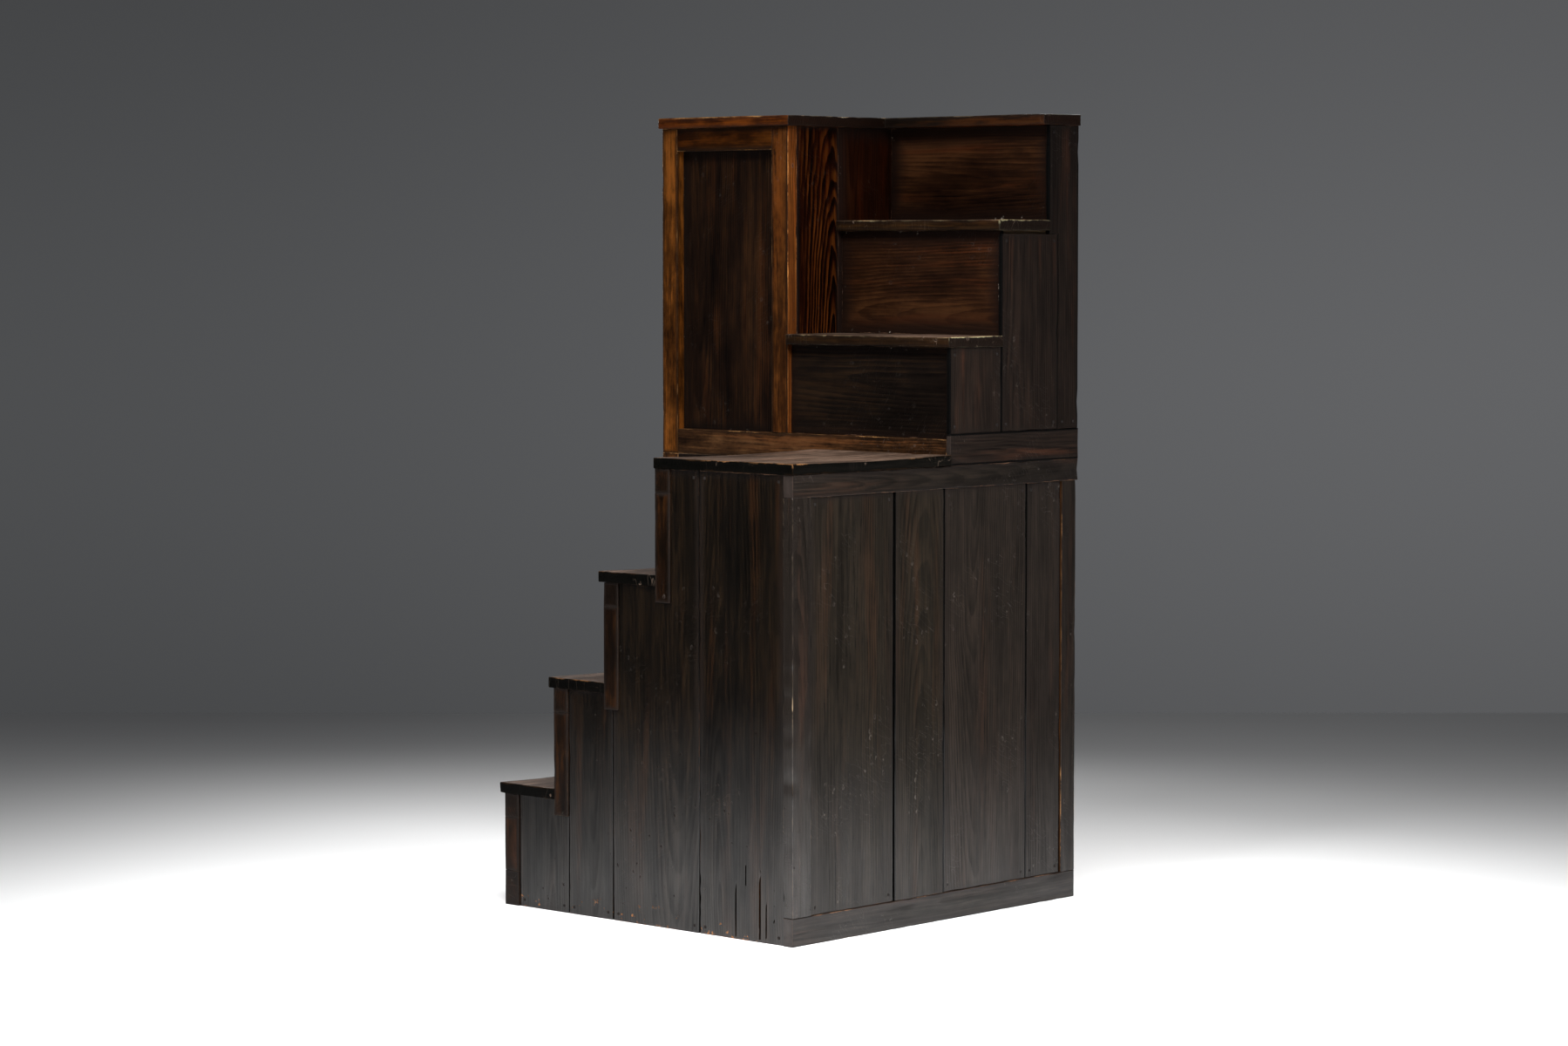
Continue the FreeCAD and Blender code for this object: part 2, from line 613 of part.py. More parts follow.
upperPlankLow = lowerTop + size.UpperBaseHigh
upperPlankThick = size.UpperBaseThick - size.UpperSideInset
plankTwoTop = upperUnderTwo - size.PlankDrop
keep_block("upper_right_rail", (size.FlightWide, 0, lowerTop),
           (upperLength - size.FlightWide, size.UpperBaseThick, size.UpperBaseHigh))
keep_block("upper_right_plank_1", (size.FlightWide, size.UpperSideInset, upperPlankLow),
           (upperJointOne - size.FlightWide - size.PlankGap, upperPlankThick,
            upperUnderOne - upperPlankLow))
keep_block("upper_right_plank_2", (upperJointOne, size.UpperSideInset, upperPlankLow),
           (upperJointTwo - upperJointOne - size.PlankGap, upperPlankThick,
            plankTwoTop - upperPlankLow))
keep(board("XZ_Plane", [
    (upperJointTwo, upperPlankLow), (upperLength, upperPlankLow),
    (upperLength, topUnder), (riserThreeFace, topUnder),
    (riserThreeFace, plankTwoTop), (upperJointTwo, plankTwoTop)],
    upperPlankThick, (0, size.UpperSideInset, 0), shift=True), "upper_rear_board")

# Top boards: one over the cabinet, one over the head of the flight

topFront = size.FlightWide - size.TopFrontLap
topNiche = riserThreeFace - size.TopNicheLap
topJoint = size.NicheWide - size.TopFrontLap
topRear = upperLength + size.SideLap
topEnd = size.ChestDeep + size.SideLap
tops = []
for front, low, high in ((topFront, topJoint, topEnd), (topNiche, -size.SideLap, topJoint)):
    top = board("XY_Plane", [(front, low), (topRear, low), (topRear, high), (front, high)],
                size.BoardThick, (0, 0, topUnder))
    tops.append(ease_nose(top, "x", front))
seat(grouped(tops), "top_boards")

# Sliding doors: a frame with a tongue above and below, a thin panel, battens and a finger cup


def plug(face, middle, low, wide, high, deep):
    """An upright plug with round ends that goes in from a face towards the flight."""
    straight = block((face - deep, middle - wide / 2, low + wide / 2), (deep, wide, high - wide))
    ends = [disc((face - deep, middle, level), wide, deep, "x")
            for level in (low + wide / 2, low + high - wide / 2)]
    return joined([straight] + ends)


def finger_cup(name, face, middle, low):
    """A cup let into a stile, with a thin lip on its face, and the space it takes."""
    lipFace = face + size.CupLipThick
    outer = plug(face, middle, low, size.CupWide, size.CupHigh, size.CupDeep)
    lip = plug(lipFace, middle, low - size.CupLip, size.CupWide + size.CupLip * 2,
               size.CupHigh + size.CupLip * 2, size.CupLipThick)
    hollow = plug(lipFace, middle, low + size.CupWall, size.CupWide - size.CupWall * 2,
                  size.CupHigh - size.CupWall * 2, size.CupDeep + size.CupLipThick - size.CupWall)
    seat(without(joined([lip, outer]), [hollow]), name)
    return outer


def door(name, face, start, wide, openingFoot, openingHead, cupAtHigh):
    back = face - size.DoorThick
    low, high = openingFoot + size.DoorFloat, openingHead - size.DoorFloat
    foot = openingFoot - size.BottomGrooveDeep + size.DoorFloat
    head = openingHead + size.TopGrooveDeep - size.DoorLift
    tongueBack = back + (size.DoorThick - size.TongueThick) / 2
    inner, innerWide = start + size.DoorStileWide, wide - size.DoorStileWide * 2
    stileStarts = (start, start + wide - size.DoorStileWide)
    panelLow, panelHigh = low + size.DoorRailHigh, high - size.DoorRailHigh
    panel = block((back + (size.DoorThick - size.DoorPanelThick) / 2, inner - size.PanelGroove,
                   panelLow - size.PanelGroove),
                  (size.DoorPanelThick, innerWide + size.PanelGroove * 2,
                   panelHigh - panelLow + size.PanelGroove * 2))
    cup = finger_cup(name + "_finger_cup", face,
                     stileStarts[cupAtHigh] + size.DoorStileWide / 2,
                     (openingFoot + openingHead - size.CupHigh) / 2)
    pieces = [panel]
    for number, stile in enumerate(stileStarts):
        solid = joined([
            block((back, stile, low), (size.DoorThick, size.DoorStileWide, high - low)),
            block((tongueBack, stile, foot), (size.TongueThick, size.DoorStileWide, low - foot)),
            block((tongueBack, stile, high), (size.TongueThick, size.DoorStileWide, head - high))])
        pieces.append(without(solid, [panel, cup] if number == cupAtHigh else [panel]))
    for railLow, tongueLow, tongueHigh in ((low, foot, low), (panelHigh, high, head)):
        solid = joined([
            block((back, inner, railLow), (size.DoorThick, innerWide, size.DoorRailHigh)),
            block((tongueBack, inner, tongueLow),
                  (size.TongueThick, innerWide, tongueHigh - tongueLow))])
        pieces.append(without(solid, [panel]))
    battenPitch = (panelHigh - panelLow) / (battenCount + 1)
    for number in range(battenCount):
        level = panelLow + battenPitch * (number + 1) - size.BattenHigh / 2
        pieces.append(block((back + (size.DoorThick + size.DoorPanelThick) / 2, inner, level),
                            (size.BattenThick, innerWide, size.BattenHigh)))
    seat(grouped(pieces), name)


def door_pair(section, face, openingFoot, openingHead):
    """Two doors that overlap by a stile, the front one at the end side."""
    wide = (openingWide + size.DoorOverlap) / 2 - size.DoorEndGap
    frontFace = face - size.DoorInset
    backFace = frontFace - size.DoorThick - size.DoorGap
    door(section + "_door_front", frontFace, openingHigh - size.DoorEndGap - wide, wide,
         openingFoot, openingHead, 1)
    door(section + "_door_back", backFace, openingLow + size.DoorEndGap, wide,
         openingFoot, openingHead, 0)


door_pair("lower", size.LowerLength, middleTop, rightRailLow)
door_pair("upper", upperLength, frontRailTop, upperRailLow)

# Drawers with dovetailed fronts and swinging iron bails


def drawer_side(low, length, height):
    """A side board whose front end carries a row of tails."""
    neck, pitch = length - size.TailLong, height / tailCount
    points = [(0, 0), (neck, 0)]
    for number in range(tailCount):
        middle = pitch * (number + 0.5)
        tip, root = size.TailHigh / 2, size.TailHigh / 2 - size.TailFlare
        points += [(neck, middle - root), (length, middle - tip),
                   (length, middle + tip), (neck, middle + root)]
    points += [(neck, height), (0, height)]
    return board("XZ_Plane", points, size.DrawerSideThick, low)


def bail(pivot, start, level):
    """A flat iron bow with cut lower corners and a round pin turned in at each end."""
    left, right = -size.PullEyeOut, size.PullSpan + size.PullEyeOut
    foot, bottom, half = size.PullFoot, -size.PullDrop, size.PullBar / 2
    turn = half * mitreShare
    bow = board("YZ_Plane", [
        (left - half, half), (left - half, bottom + foot - turn), (left + foot - turn, bottom - half),
        (right - foot + turn, bottom - half), (right + half, bottom + foot - turn), (right + half, half),
        (right - half, half), (right - half, bottom + foot + turn), (right - foot - turn, bottom + half),
        (left + foot + turn, bottom + half), (left + half, bottom + foot + turn), (left + half, half)],
        size.PullBar, (pivot - half, start, level))
    pinLong = size.PullPinLong + size.PullEyeOut
    pins = [disc((pivot, start + place, level), size.PullBar, pinLong, "y")
            for place in (left, right - pinLong)]
    return joined([bow] + pins)


def pull(name, middle, level):
    """Two square posts on round plates, each with a hole for the bail, and the bail itself."""
    pivot = drawerFace + pullReach - size.PullHoleBack
    posts = []
    for side in (middle - size.PullSpan / 2, middle + size.PullSpan / 2):
        plate = disc((drawerFace, side, level), size.PullPlateRound, size.PullPlateThick, "x")
        half = size.PullPostSide / 2
        stem = block((drawerFace + size.PullPlateThick, side - half, level - half),
                     (size.PullPostLong, size.PullPostSide, size.PullPostSide))
        hole = disc((pivot, side - size.PullPostSide, level), size.PullBar + size.PullHoleGap * 2,
                    size.PullPostSide * 2, "y")
        posts.append(without(joined([plate, stem]), [hole]))
    seat(grouped(posts), name + "_pull_posts")
    seat(bail(pivot, middle - size.PullSpan / 2, level), name + "_bail")


def drawer(name, start, wide):
    foot = size.BottomRailHigh + size.DrawerFloat
    height = size.MiddleRailLow - size.DrawerTopGap - foot
    rear = floorLow + size.DrawerRearGap
    frontBack = drawerFace - size.DrawerFrontThick
    sideLong = frontBack - rear + size.TailLong
    sides = [drawer_side((rear, low, foot), sideLong, height)
             for low in (start, start + wide - size.DrawerSideThick)]
    inner, innerWide = start + size.DrawerSideThick, wide - size.DrawerSideThick * 2
    base = block((rear, inner - size.DrawerGroove, foot + size.DrawerBottomLift),
                 (frontBack - rear + size.DrawerGroove, innerWide + size.DrawerGroove * 2,
                  size.DrawerBottomThick))
    front = without(block((frontBack, start, foot), (size.DrawerFrontThick, wide, height)),
                    sides + [base])
    backLow = foot + size.DrawerBottomLift + size.DrawerBottomThick
    back = block((rear, inner, backLow), (size.DrawerBackThick, innerWide, foot + height - backLow))
    seat(grouped([front, base, back] + [without(side, [base]) for side in sides]), name)
    pull(name, start + wide / 2, foot + height * pullHeightShare)


drawer("drawer_near", openingLow + size.DrawerSideGap,
       muntinLow - openingLow - size.DrawerSideGap * 2)
drawer("drawer_far", muntinHigh + size.DrawerSideGap,
       openingHigh - muntinHigh - size.DrawerSideGap * 2)

# Square nail heads on the wall side planks


def nail_right(across, level, face):
    half = size.NailSide / 2
    return block((across - half, face - size.NailThick, level - half),
                 (size.NailSide, size.NailThick, size.NailSide))


def nail_left(along, level):
    half = size.NailSide / 2
    return block((size.PlankInset - size.NailThick, along - half, level - half),
                 (size.NailThick, size.NailSide, size.NailSide))


edge = size.NailEdge
nails = []
for number in range(4):
    for across in (rightJoints[number] + edge, rightJoints[number + 1] - edge):
        for level in (size.BottomRailHigh + edge, rightRailLow - edge):
            nails.append(nail_right(across, level, size.PlankInset))
for along in (riserBacks[0] - edge, riserBacks[1] + edge, riserBacks[1] - edge,
              leftJointTwo + edge, leftJointTwo - edge, leftJointThree + edge,
              leftJointThree - edge, size.RailThick + edge):
    nails.append(nail_left(along, edge))
for along in (leftJointThree + edge, leftJointThree - edge, size.RailThick + edge):
    nails.append(nail_left(along, lowerTop - edge))
upperNails = [(size.FlightWide + edge, upperUnderOne), (upperJointOne - edge, upperUnderOne),
              (upperJointOne + edge, plankTwoTop), (upperJointTwo - edge, plankTwoTop),
              (riserThreeFace + edge, topUnder), (upperLength - edge, topUnder)]
for across, top in upperNails:
    nails.append(nail_right(across, top - edge, size.UpperSideInset))
for across in (size.FlightWide + edge, upperJointOne - edge, upperJointOne + edge,
               upperJointTwo - edge, upperJointTwo + edge, upperLength - edge):
    nails.append(nail_right(across, upperPlankLow + edge, size.UpperSideInset))
seat(grouped(nails), "plank_nails")

# Check every piece, then write one file for each sub-part

doc.recompute()
for thing in doc.Objects:
    if "Invalid" in thing.State or "Error" in thing.State:
        raise SystemExit("failed: %s %s" % (thing.Label, thing.State))
for thing in nodes:
    if thing.Shape.isNull() or not thing.Shape.isValid():
        raise SystemExit("bad shape: " + thing.Label)
os.makedirs("parts", exist_ok=True)
for thing in nodes:
    thing.Shape.exportStep("parts/%s.step" % thing.Label)
whole = Part.makeCompound([thing.Shape for thing in nodes]).BoundBox
print("%d nodes" % len(nodes))
print("x %.2f to %.2f, y %.2f to %.2f, z %.2f to %.2f" % (
    whole.XMin, whole.XMax, whole.YMin, whole.YMax, whole.ZMin, whole.ZMax))
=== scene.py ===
import json
import math
import random

import bmesh
import bpy
from mathutils import Matrix, Vector, noise


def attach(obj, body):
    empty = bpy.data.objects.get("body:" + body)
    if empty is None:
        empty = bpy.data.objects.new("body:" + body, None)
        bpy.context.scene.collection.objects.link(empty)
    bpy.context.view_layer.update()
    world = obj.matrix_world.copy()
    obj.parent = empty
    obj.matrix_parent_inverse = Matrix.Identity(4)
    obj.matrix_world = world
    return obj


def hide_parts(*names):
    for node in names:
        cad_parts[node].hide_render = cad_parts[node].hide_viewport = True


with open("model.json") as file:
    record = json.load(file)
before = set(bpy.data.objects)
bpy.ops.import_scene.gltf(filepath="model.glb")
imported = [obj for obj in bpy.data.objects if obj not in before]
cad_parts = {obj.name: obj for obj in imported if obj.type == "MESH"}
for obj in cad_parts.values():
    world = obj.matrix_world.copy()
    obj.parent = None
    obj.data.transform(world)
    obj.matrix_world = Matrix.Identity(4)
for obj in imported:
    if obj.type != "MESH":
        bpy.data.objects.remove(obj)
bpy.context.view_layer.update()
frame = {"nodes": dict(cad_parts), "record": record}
nodes = frame["nodes"]
bodyOf = {node: body for body, members in frame["record"]["behaviour"]["bodies"].items()
          for node in members}
print("frame loaded:", len(nodes), "nodes")


# Camera, solved from the straight edges of the chest in the photograph

cameraSetup = {
    "place": (-7.0095, -6.3888, 1.502),
    "heading": 47.542,   # degrees from +Y towards +X
    "downward": 3.813,   # degrees under the horizon
    "lens": 95.155,
    "sensor": 36.0,
}

cameraData = bpy.data.cameras.new("camera")
cameraData.lens = cameraSetup["lens"]
cameraData.sensor_width = cameraSetup["sensor"]
camera = bpy.data.objects.new("camera", cameraData)
camera.location = cameraSetup["place"]
camera.rotation_euler = (math.radians(90 - cameraSetup["downward"]), 0,
                         -math.radians(cameraSetup["heading"]))
bpy.context.scene.collection.objects.link(camera)
bpy.context.scene.camera = camera
bpy.context.scene.view_settings.view_transform = "Standard"   # colours as painted, with no film curve
print("camera ready")


# Shader maths, written as plain expressions

class Signal:
    def __init__(self, finish, socket):
        self.finish = finish
        self.socket = socket

    def maths(self, operation, first, second):
        return self.finish.node("ShaderNodeMath", {"operation": operation}, {0: first, 1: second})

    def __add__(self, other):
        return self.maths("ADD", self, other)

    def __radd__(self, other):
        return self.maths("ADD", other, self)

    def __sub__(self, other):
        return self.maths("SUBTRACT", self, other)

    def __rsub__(self, other):
        return self.maths("SUBTRACT", other, self)

    def __mul__(self, other):
        return self.maths("MULTIPLY", self, other)

    def __truediv__(self, other):
        return self.maths("DIVIDE", self, other)


class Finish:
    def __init__(self, owner, shader="Principled BSDF"):
        owner.use_nodes = True
        self.owner = owner
        self.tree = owner.node_tree
        self.shader = self.tree.nodes[shader]

    def feed(self, socket, value):
        if isinstance(value, Signal):
            self.tree.links.new(value.socket, socket)
        else:
            socket.default_value = value

    def node(self, kind, settings=None, links=None, output=0):
        made = self.tree.nodes.new(kind)
        for key, value in (settings or {}).items():
            if key == "stops":
                elements = made.color_ramp.elements
                elements[0].position, elements[0].color = value[0][0], (*value[0][1], 1)
                elements[1].position, elements[1].color = value[-1][0], (*value[-1][1], 1)
                for place, colour in value[1:-1]:
                    elements.new(place).color = (*colour, 1)
            else:
                setattr(made, key, value)
        for key, value in (links or {}).items():
            self.feed(made.inputs[key], value)
        return Signal(self, made.outputs[output])

    def parts(self, vector):
        made = self.node("ShaderNodeSeparateXYZ", None, {0: vector}).socket.node
        return [Signal(self, socket) for socket in made.outputs]

    def vector(self, x, y, z):
        return self.node("ShaderNodeCombineXYZ", None, {0: x, 1: y, 2: z})

    def attribute(self, name):
        return self.node("ShaderNodeAttribute", {"attribute_name": name}, None, "Vector")

    def clouds(self, place, scale, detail, roughness=0.55):
        return self.node("ShaderNodeTexNoise", None, {
            "Vector": place, "Scale": scale, "Detail": detail, "Roughness": roughness}, "Fac")

    def cells(self, place, scale):
        return self.node("ShaderNodeTexVoronoi", None, {"Vector": place, "Scale": scale}, "Distance")

    def between(self, value, low, high, toLow=0.0, toHigh=1.0):
        return self.node("ShaderNodeMapRange", {"interpolation_type": "SMOOTHSTEP"},
                         {0: value, 1: low, 2: high, 3: toLow, 4: toHigh})

    def least(self, first, second):
        return self.node("ShaderNodeMath", {"operation": "MINIMUM"}, {0: first, 1: second})

    def most(self, first, second):
        return self.node("ShaderNodeMath", {"operation": "MAXIMUM"}, {0: first, 1: second})

    def apply(self, operation, value):
        return self.node("ShaderNodeMath", {"operation": operation}, {0: value})

    def blended(self, share, under, over):
        under, over = ((*colour, 1) if isinstance(colour, tuple) else colour for colour in (under, over))
        return self.node("ShaderNodeMix", {"data_type": "RGBA"}, {0: share, 6: under, 7: over}, 2)

    def ramp(self, value, stops):
        return self.node("ShaderNodeValToRGB", {"stops": stops}, {0: value})

    def relief(self, height, distance):
        return self.node("ShaderNodeBump", None,
                         {"Height": height, "Distance": distance, "Strength": 1.0})

    def finish(self, **values):
        for name, value in values.items():
            self.feed(self.shader.inputs[name.replace("_", " ")], value)
        return self.owner


# Wood: rings round a pith line beside each board, stretched fibres, old lacquer and wear, with painted
# shade near the arrises and painted glints on them.
# Each board carries its own place, size and random seed as attributes.

grainSetup = {
    # turns per metre along the board and across it, then detail and roughness
    "sway": (1.2, 4.0, 2.0, 0.55), "bands": (1.0, 16.0, 2.0, 0.55), "streaks": (2.6, 62.0, 4.0, 0.6),
    "fibres": (9.0, 280.0, 3.0, 0.65), "patches": (3.0, 7.0, 5.0, 0.62),
    "mottle": (22.0, 52.0, 4.0, 0.68), "wander": (4.0, 13.0, 3.0, 0.55), "redder": (1.8, 26.0, 3.0, 0.55),
    "chafe": (26.0, 26.0, 4.0, 0.7), "stretch": (7.0, 7.0, 2.0, 0.55), "sparse": (5.0, 7.0, 2.0, 0.55),
    "crooked": (70.0, 70.0, 3.0, 0.6),
    "apart": (9.0, 5.0, 3.0),         # how far a seed moves its board through the patterns
    "pithShare": (0.7, 0.15),         # where across the board the pith can lie
    "pithBend": 0.06, "pithRise": 0.03, "pithSlope": 0.14,
    "late": (0.1, 0.86, 0.9, 1.0),    # where the dark late wood of a ring starts, is full, fades and ends
    "ringLeast": 0.25, "ringBands": (0.35, 0.6), "ringMean": 0.3,     # rings are fainter in some bands
    "tones": (0.18, 0.5, 0.85),       # where the ramp has its dark, middle and light wood
    "redderShows": (0.5, 0.72), "redderTones": (0.3, 0.6),
}
wearSetup = {
    # turns per metre along the board and across it
    "knocks": (34.0, 48.0), "rakeLong": (60.0, 40.0), "rakeWide": (9.0, 14.0),
    # metres from an arris, an end or the floor
    "sawn": (0.0012, 0.0006), "chipped": (0.012, 0.004), "torn": (0.055, 0.015), "seamShare": 0.4,
    # shares of a knock's own cell
    "dent": (0.14, 0.05), "rimOutside": (0.25, 0.17), "rimInside": (0.08, 0.15), "knockBend": (0.7, 0.5),
    # levels of the patterns between which a mark starts to show and is full
    "stretchShows": (0.46, 0.64), "sparseShows": (0.5, 0.64), "rimShows": (0.5, 0.62),
    "chipShows": (0.62, 0.68), "chipStretch": (0.5, 0.9), "tornShows": (0.70, 0.76), "tornStretch": 0.1,
    # rubbed arrises with their painted glints, in their own widths, and scratches
    "rubbed": (0.9, 0.1), "rubBroken": 5.0, "rubLeast": 0.08, "topHeights": (0.5, 0.95),
    "scratchWide": 0.005, "scratchShare": 0.6,
    "bruiseHeight": {"fibres": 0.3, "streaks": 0.4, "rings": 0.35, "dents": 1.4, "scratches": 0.4},
    "chipColour": (0.42, 0.36, 0.30), "seamColour": (0.0012, 0.0011, 0.001),
    "tornColour": (0.22, 0.085, 0.02),
}
sheenSetup = {
    # how much each pattern thins the lacquer, and how much it dulls the surface
    "thin": {"patches": 0.9, "streaks": 0.8, "rings": 0.25},
    "dull": {"rub": 0.2, "marks": 0.2, "fibres": 0.08, "grime": 0.1},
}
plainLook = {
    "dark": (0.0042, 0.0032, 0.0027), "middle": (0.0142, 0.0107, 0.0089),
    "light": (0.036, 0.0240, 0.0180), "glow": (0.064, 0.0230, 0.0115), "warm": 0.45,
    "bands": 0.35, "streaks": 0.4, "fibres": 0.75, "patches": 0.45, "mottle": 0.3, "toneSpread": 0.08,
    "rings": 0.2, "ringPitch": 0.007, "wander": 0.012, "pithDeep": 0.02, "sway": 0.03,
    "ends": (0.034, 0.0255, 0.0221), "endShare": 0.6,
    "worn": (0.272, 0.1445, 0.085), "wornWide": 0.0016, "wornShare": 0.4, "wornTop": 0.0,
    "grime": (0.0119, 0.00884, 0.00748), "grimeWide": 0.02, "grimeShare": 0.5,
    "scuffs": 0.26, "scuffColour": (0.17, 0.1445, 0.1275), "dents": 1.0, "pits": 0.7, "combed": 0.8,
    "seam": 0.0, "seamWide": 0.0034, "flecks": 0.0, "footWear": 0.0,
    "roughness": 0.42, "roughSpread": 0.25, "specular": 0.06,
    "coat": 0.0266, "coatRoughness": 0.12, "coatIndex": 2.2,
    "relief": 0.0005, "tilt": 0.0,
}


def wood(name, **changes):
    look = {**plainLook, **changes}
    paint = Finish(bpy.data.materials.new(name))
    x, y, z = paint.parts(paint.attribute("boardPlace"))
    wideX, wideY, wideZ = paint.parts(paint.attribute("boardSize"))
    seedA, seedB, seedC = paint.parts(paint.attribute("boardSeed"))
    apart = grainSetup["apart"]
    farX, farY, farZ = x + seedA * apart[0], y + seedB * apart[1], z + seedC * apart[2]

    def grain(kind, sideways):
        long, across, detail, rough = grainSetup[kind]
        place = paint.vector(farX * long, sideways * across, farZ * across)
        return paint.clouds(place, 1.0, detail, rough)

    # soft bands, streaks and single fibres, all drawn out along the board
    sway = grain("sway", farY)
    bent = farY + (sway - 0.5) * look["sway"]
    bands, streaks, fibres, patches, mottle, wander = (
        grain(kind, bent) for kind in ("bands", "streaks", "fibres", "patches", "mottle", "wander"))

    # yearly rings, cut flat on the face and across on the ends
    pithSpan, pithLeast = grainSetup["pithShare"]
    pithY = y - wideY * (seedB * pithSpan + pithLeast) + (sway - 0.5) * grainSetup["pithBend"]
    pithZ = z + look["pithDeep"] + seedC * grainSetup["pithRise"] \
        + (x - wideX * 0.5) * ((seedA - 0.5) * grainSetup["pithSlope"] + look["tilt"])
    reach = paint.apply("SQRT", pithY * pithY + pithZ * pithZ) + (wander - 0.5) * look["wander"]
    turn = paint.apply("FRACT", reach / look["ringPitch"])
    starts, full, fades, ends = grainSetup["late"]
    late = paint.between(turn, starts, full) * paint.between(turn, ends, fades)
    least = grainSetup["ringLeast"]
    rings = late * (least + paint.between(bands, *grainSetup["ringBands"]) * (1 - least))

    tone = 0.5 + (bands - 0.5) * look["bands"] + (streaks - 0.5) * look["streaks"] \
        + (fibres - 0.5) * look["fibres"] + (patches - 0.5) * look["patches"] \
        + (mottle - 0.5) * look["mottle"] + (seedC - 0.5) * look["toneSpread"] \
        - (rings - grainSetup["ringMean"]) * look["rings"]
    colours = (look["dark"], look["middle"], look["light"])
    colour = paint.ramp(tone, list(zip(grainSetup["tones"], colours)))
    redder = paint.between(grain("redder", bent), *grainSetup["redderShows"]) * look["warm"]
    colour = paint.blended(redder * paint.between(tone, *grainSetup["redderTones"]), colour, look["glow"])

    # how far a point is from the nearest arris of its board
    gapX = paint.least(x, wideX - x)
    gapY = paint.least(y, wideY - y)
    gapZ = paint.least(z, wideZ - z)
    edge = paint.most(paint.least(gapX, gapY), paint.least(paint.most(gapX, gapY), gapZ))
    sawn = paint.between(gapX, *wearSetup["sawn"]) * look["endShare"]
    colour = paint.blended(sawn, colour, look["ends"])

    # painted shade and grime: every face darkens towards its board's arrises, which shades recesses,
    # panel edges and the corners between parts
    grime = paint.between(edge - (patches - 0.5) * look["grimeWide"], look["grimeWide"], 0.0) \
        * look["grimeShare"]
    colour = paint.blended(grime, colour, look["grime"])

    # lacquer rubbed off the arrises in uneven stretches, and a painted glint along them: a light arris
    # line that on treads is kept to the upper arris
    stretch = paint.between(grain("stretch", farY), *wearSetup["stretchShows"])
    broken, least = (grain("chafe", farY) - 0.5) * wearSetup["rubBroken"], wearSetup["rubLeast"]
    rub = paint.between(edge / look["wornWide"] - broken, *wearSetup["rubbed"]) * look["wornShare"] \
        * (least + stretch * (1 - least))
    if look["wornTop"]:
        rub = rub * paint.between(z / wideZ, *wearSetup["topHeights"], 1.0 - look["wornTop"], 1.0)
    colour = paint.blended(rub, colour, look["worn"])

    # small knocks, scratches and bruises: a knock's dent is darkened as painted shade and its rim
    # lightened as a painted highlight
    sparse = paint.between(grain("sparse", farY), *wearSetup["sparseShows"])
    crooked = grain("crooked", farY)
    (long, across), (bendX, bendY) = wearSetup["knocks"], wearSetup["knockBend"]
    knocks = paint.cells(
        paint.vector(farX * long + crooked * bendX, farY * across + crooked * bendY, farZ * across), 1.0)
    dents = paint.between(knocks, *wearSetup["dent"]) * sparse
    outside, inside = (paint.between(knocks, *wearSetup[key]) for key in ("rimOutside", "rimInside"))
    rims = outside * inside * sparse * paint.between(crooked, *wearSetup["rimShows"])
    (longX, longY), (wideRake, lean) = wearSetup["rakeLong"], wearSetup["rakeWide"]
    rake = paint.clouds(paint.vector(
        farX * longX + farY * longY, farY * wideRake - farX * lean, farZ * wideRake), 1.0, 1.0)
    scratches = paint.between(paint.apply("ABSOLUTE", rake - 0.5), wearSetup["scratchWide"], 0.0) * sparse
    marks = paint.most(rims, scratches * wearSetup["scratchShare"]) * look["scuffs"]
    # dents take the dark edge colour: painted shade inside the dent
    colour = paint.blended(dents * look["pits"], colour, look["grime"])
    colour = paint.blended(marks, colour, look["scuffColour"])
    high = wearSetup["bruiseHeight"]
    height = fibres * high["fibres"] + streaks * high["streaks"] - rings * high["rings"] \
        - dents * look["dents"] * high["dents"] - scratches * high["scratches"]

    if look["flecks"]:
        chipped = paint.between(crooked, *wearSetup["chipShows"]) \
            * paint.between(edge, *wearSetup["chipped"]) \
            * paint.between(stretch, *wearSetup["chipStretch"])
        colour = paint.blended(chipped * look["flecks"], colour, wearSetup["chipColour"])
    # a near-black band along the long edges: painted shade of the gap between neighbouring boards
    if look["seam"]:
        seam = paint.between(gapY, look["seamWide"], look["seamWide"] * wearSetup["seamShare"])
        colour = paint.blended(seam * look["seam"], colour, wearSetup["seamColour"])
    if look["footWear"]:
        torn = paint.between(crooked + stretch * wearSetup["tornStretch"], *wearSetup["tornShows"]) \
            * paint.between(x, *wearSetup["torn"])
        colour = paint.blended(torn * look["footWear"], colour, wearSetup["tornColour"])

    # the lacquer is thinner on some fibres, so the sheen breaks up along the grain
    thin, dull = sheenSetup["thin"], sheenSetup["dull"]
    polish = paint.most(0.0, 1.0 + (patches - 0.5) * thin["patches"] + (fibres - 0.5) * look["combed"]
                        + (streaks - 0.5) * look["combed"] * thin["streaks"] - rings * thin["rings"])
    roughness = look["roughness"] + (patches - 0.5) * look["roughSpread"] + rub * dull["rub"] \
        + marks * dull["marks"] + (fibres - 0.5) * dull["fibres"] + grime * dull["grime"]
    return paint.finish(
        Base_Color=colour, Roughness=roughness, Specular_IOR_Level=look["specular"],
        Coat_Weight=polish * (1.0 - rub) * (1.0 - dents) * look["coat"],
        Coat_Roughness=look["coatRoughness"], Coat_IOR=look["coatIndex"],
        Normal=paint.relief(height, look["relief"]))


ironLook = {
    "dark": (0.024, 0.023, 0.022), "light": (0.09, 0.08, 0.072), "rust": (0.06, 0.022, 0.010),
    "rustShare": 0.35, "metal": 0.75, "specular": 0.5, "roughness": 0.42, "relief": 0.00025,
    "hammerMarks": 170.0,                                     # turns per metre
    "pits": (420.0, 4.0, 0.65), "blooms": (45.0, 5.0, 0.7),   # and their detail and roughness
    "tones": (0.3, 0.7), "pitShare": 0.6, "rustShows": (0.52, 0.72),
    "pitRough": 0.3, "rustRough": 0.4, "hammerDeep": 0.8, "pitDeep": 0.4,
}


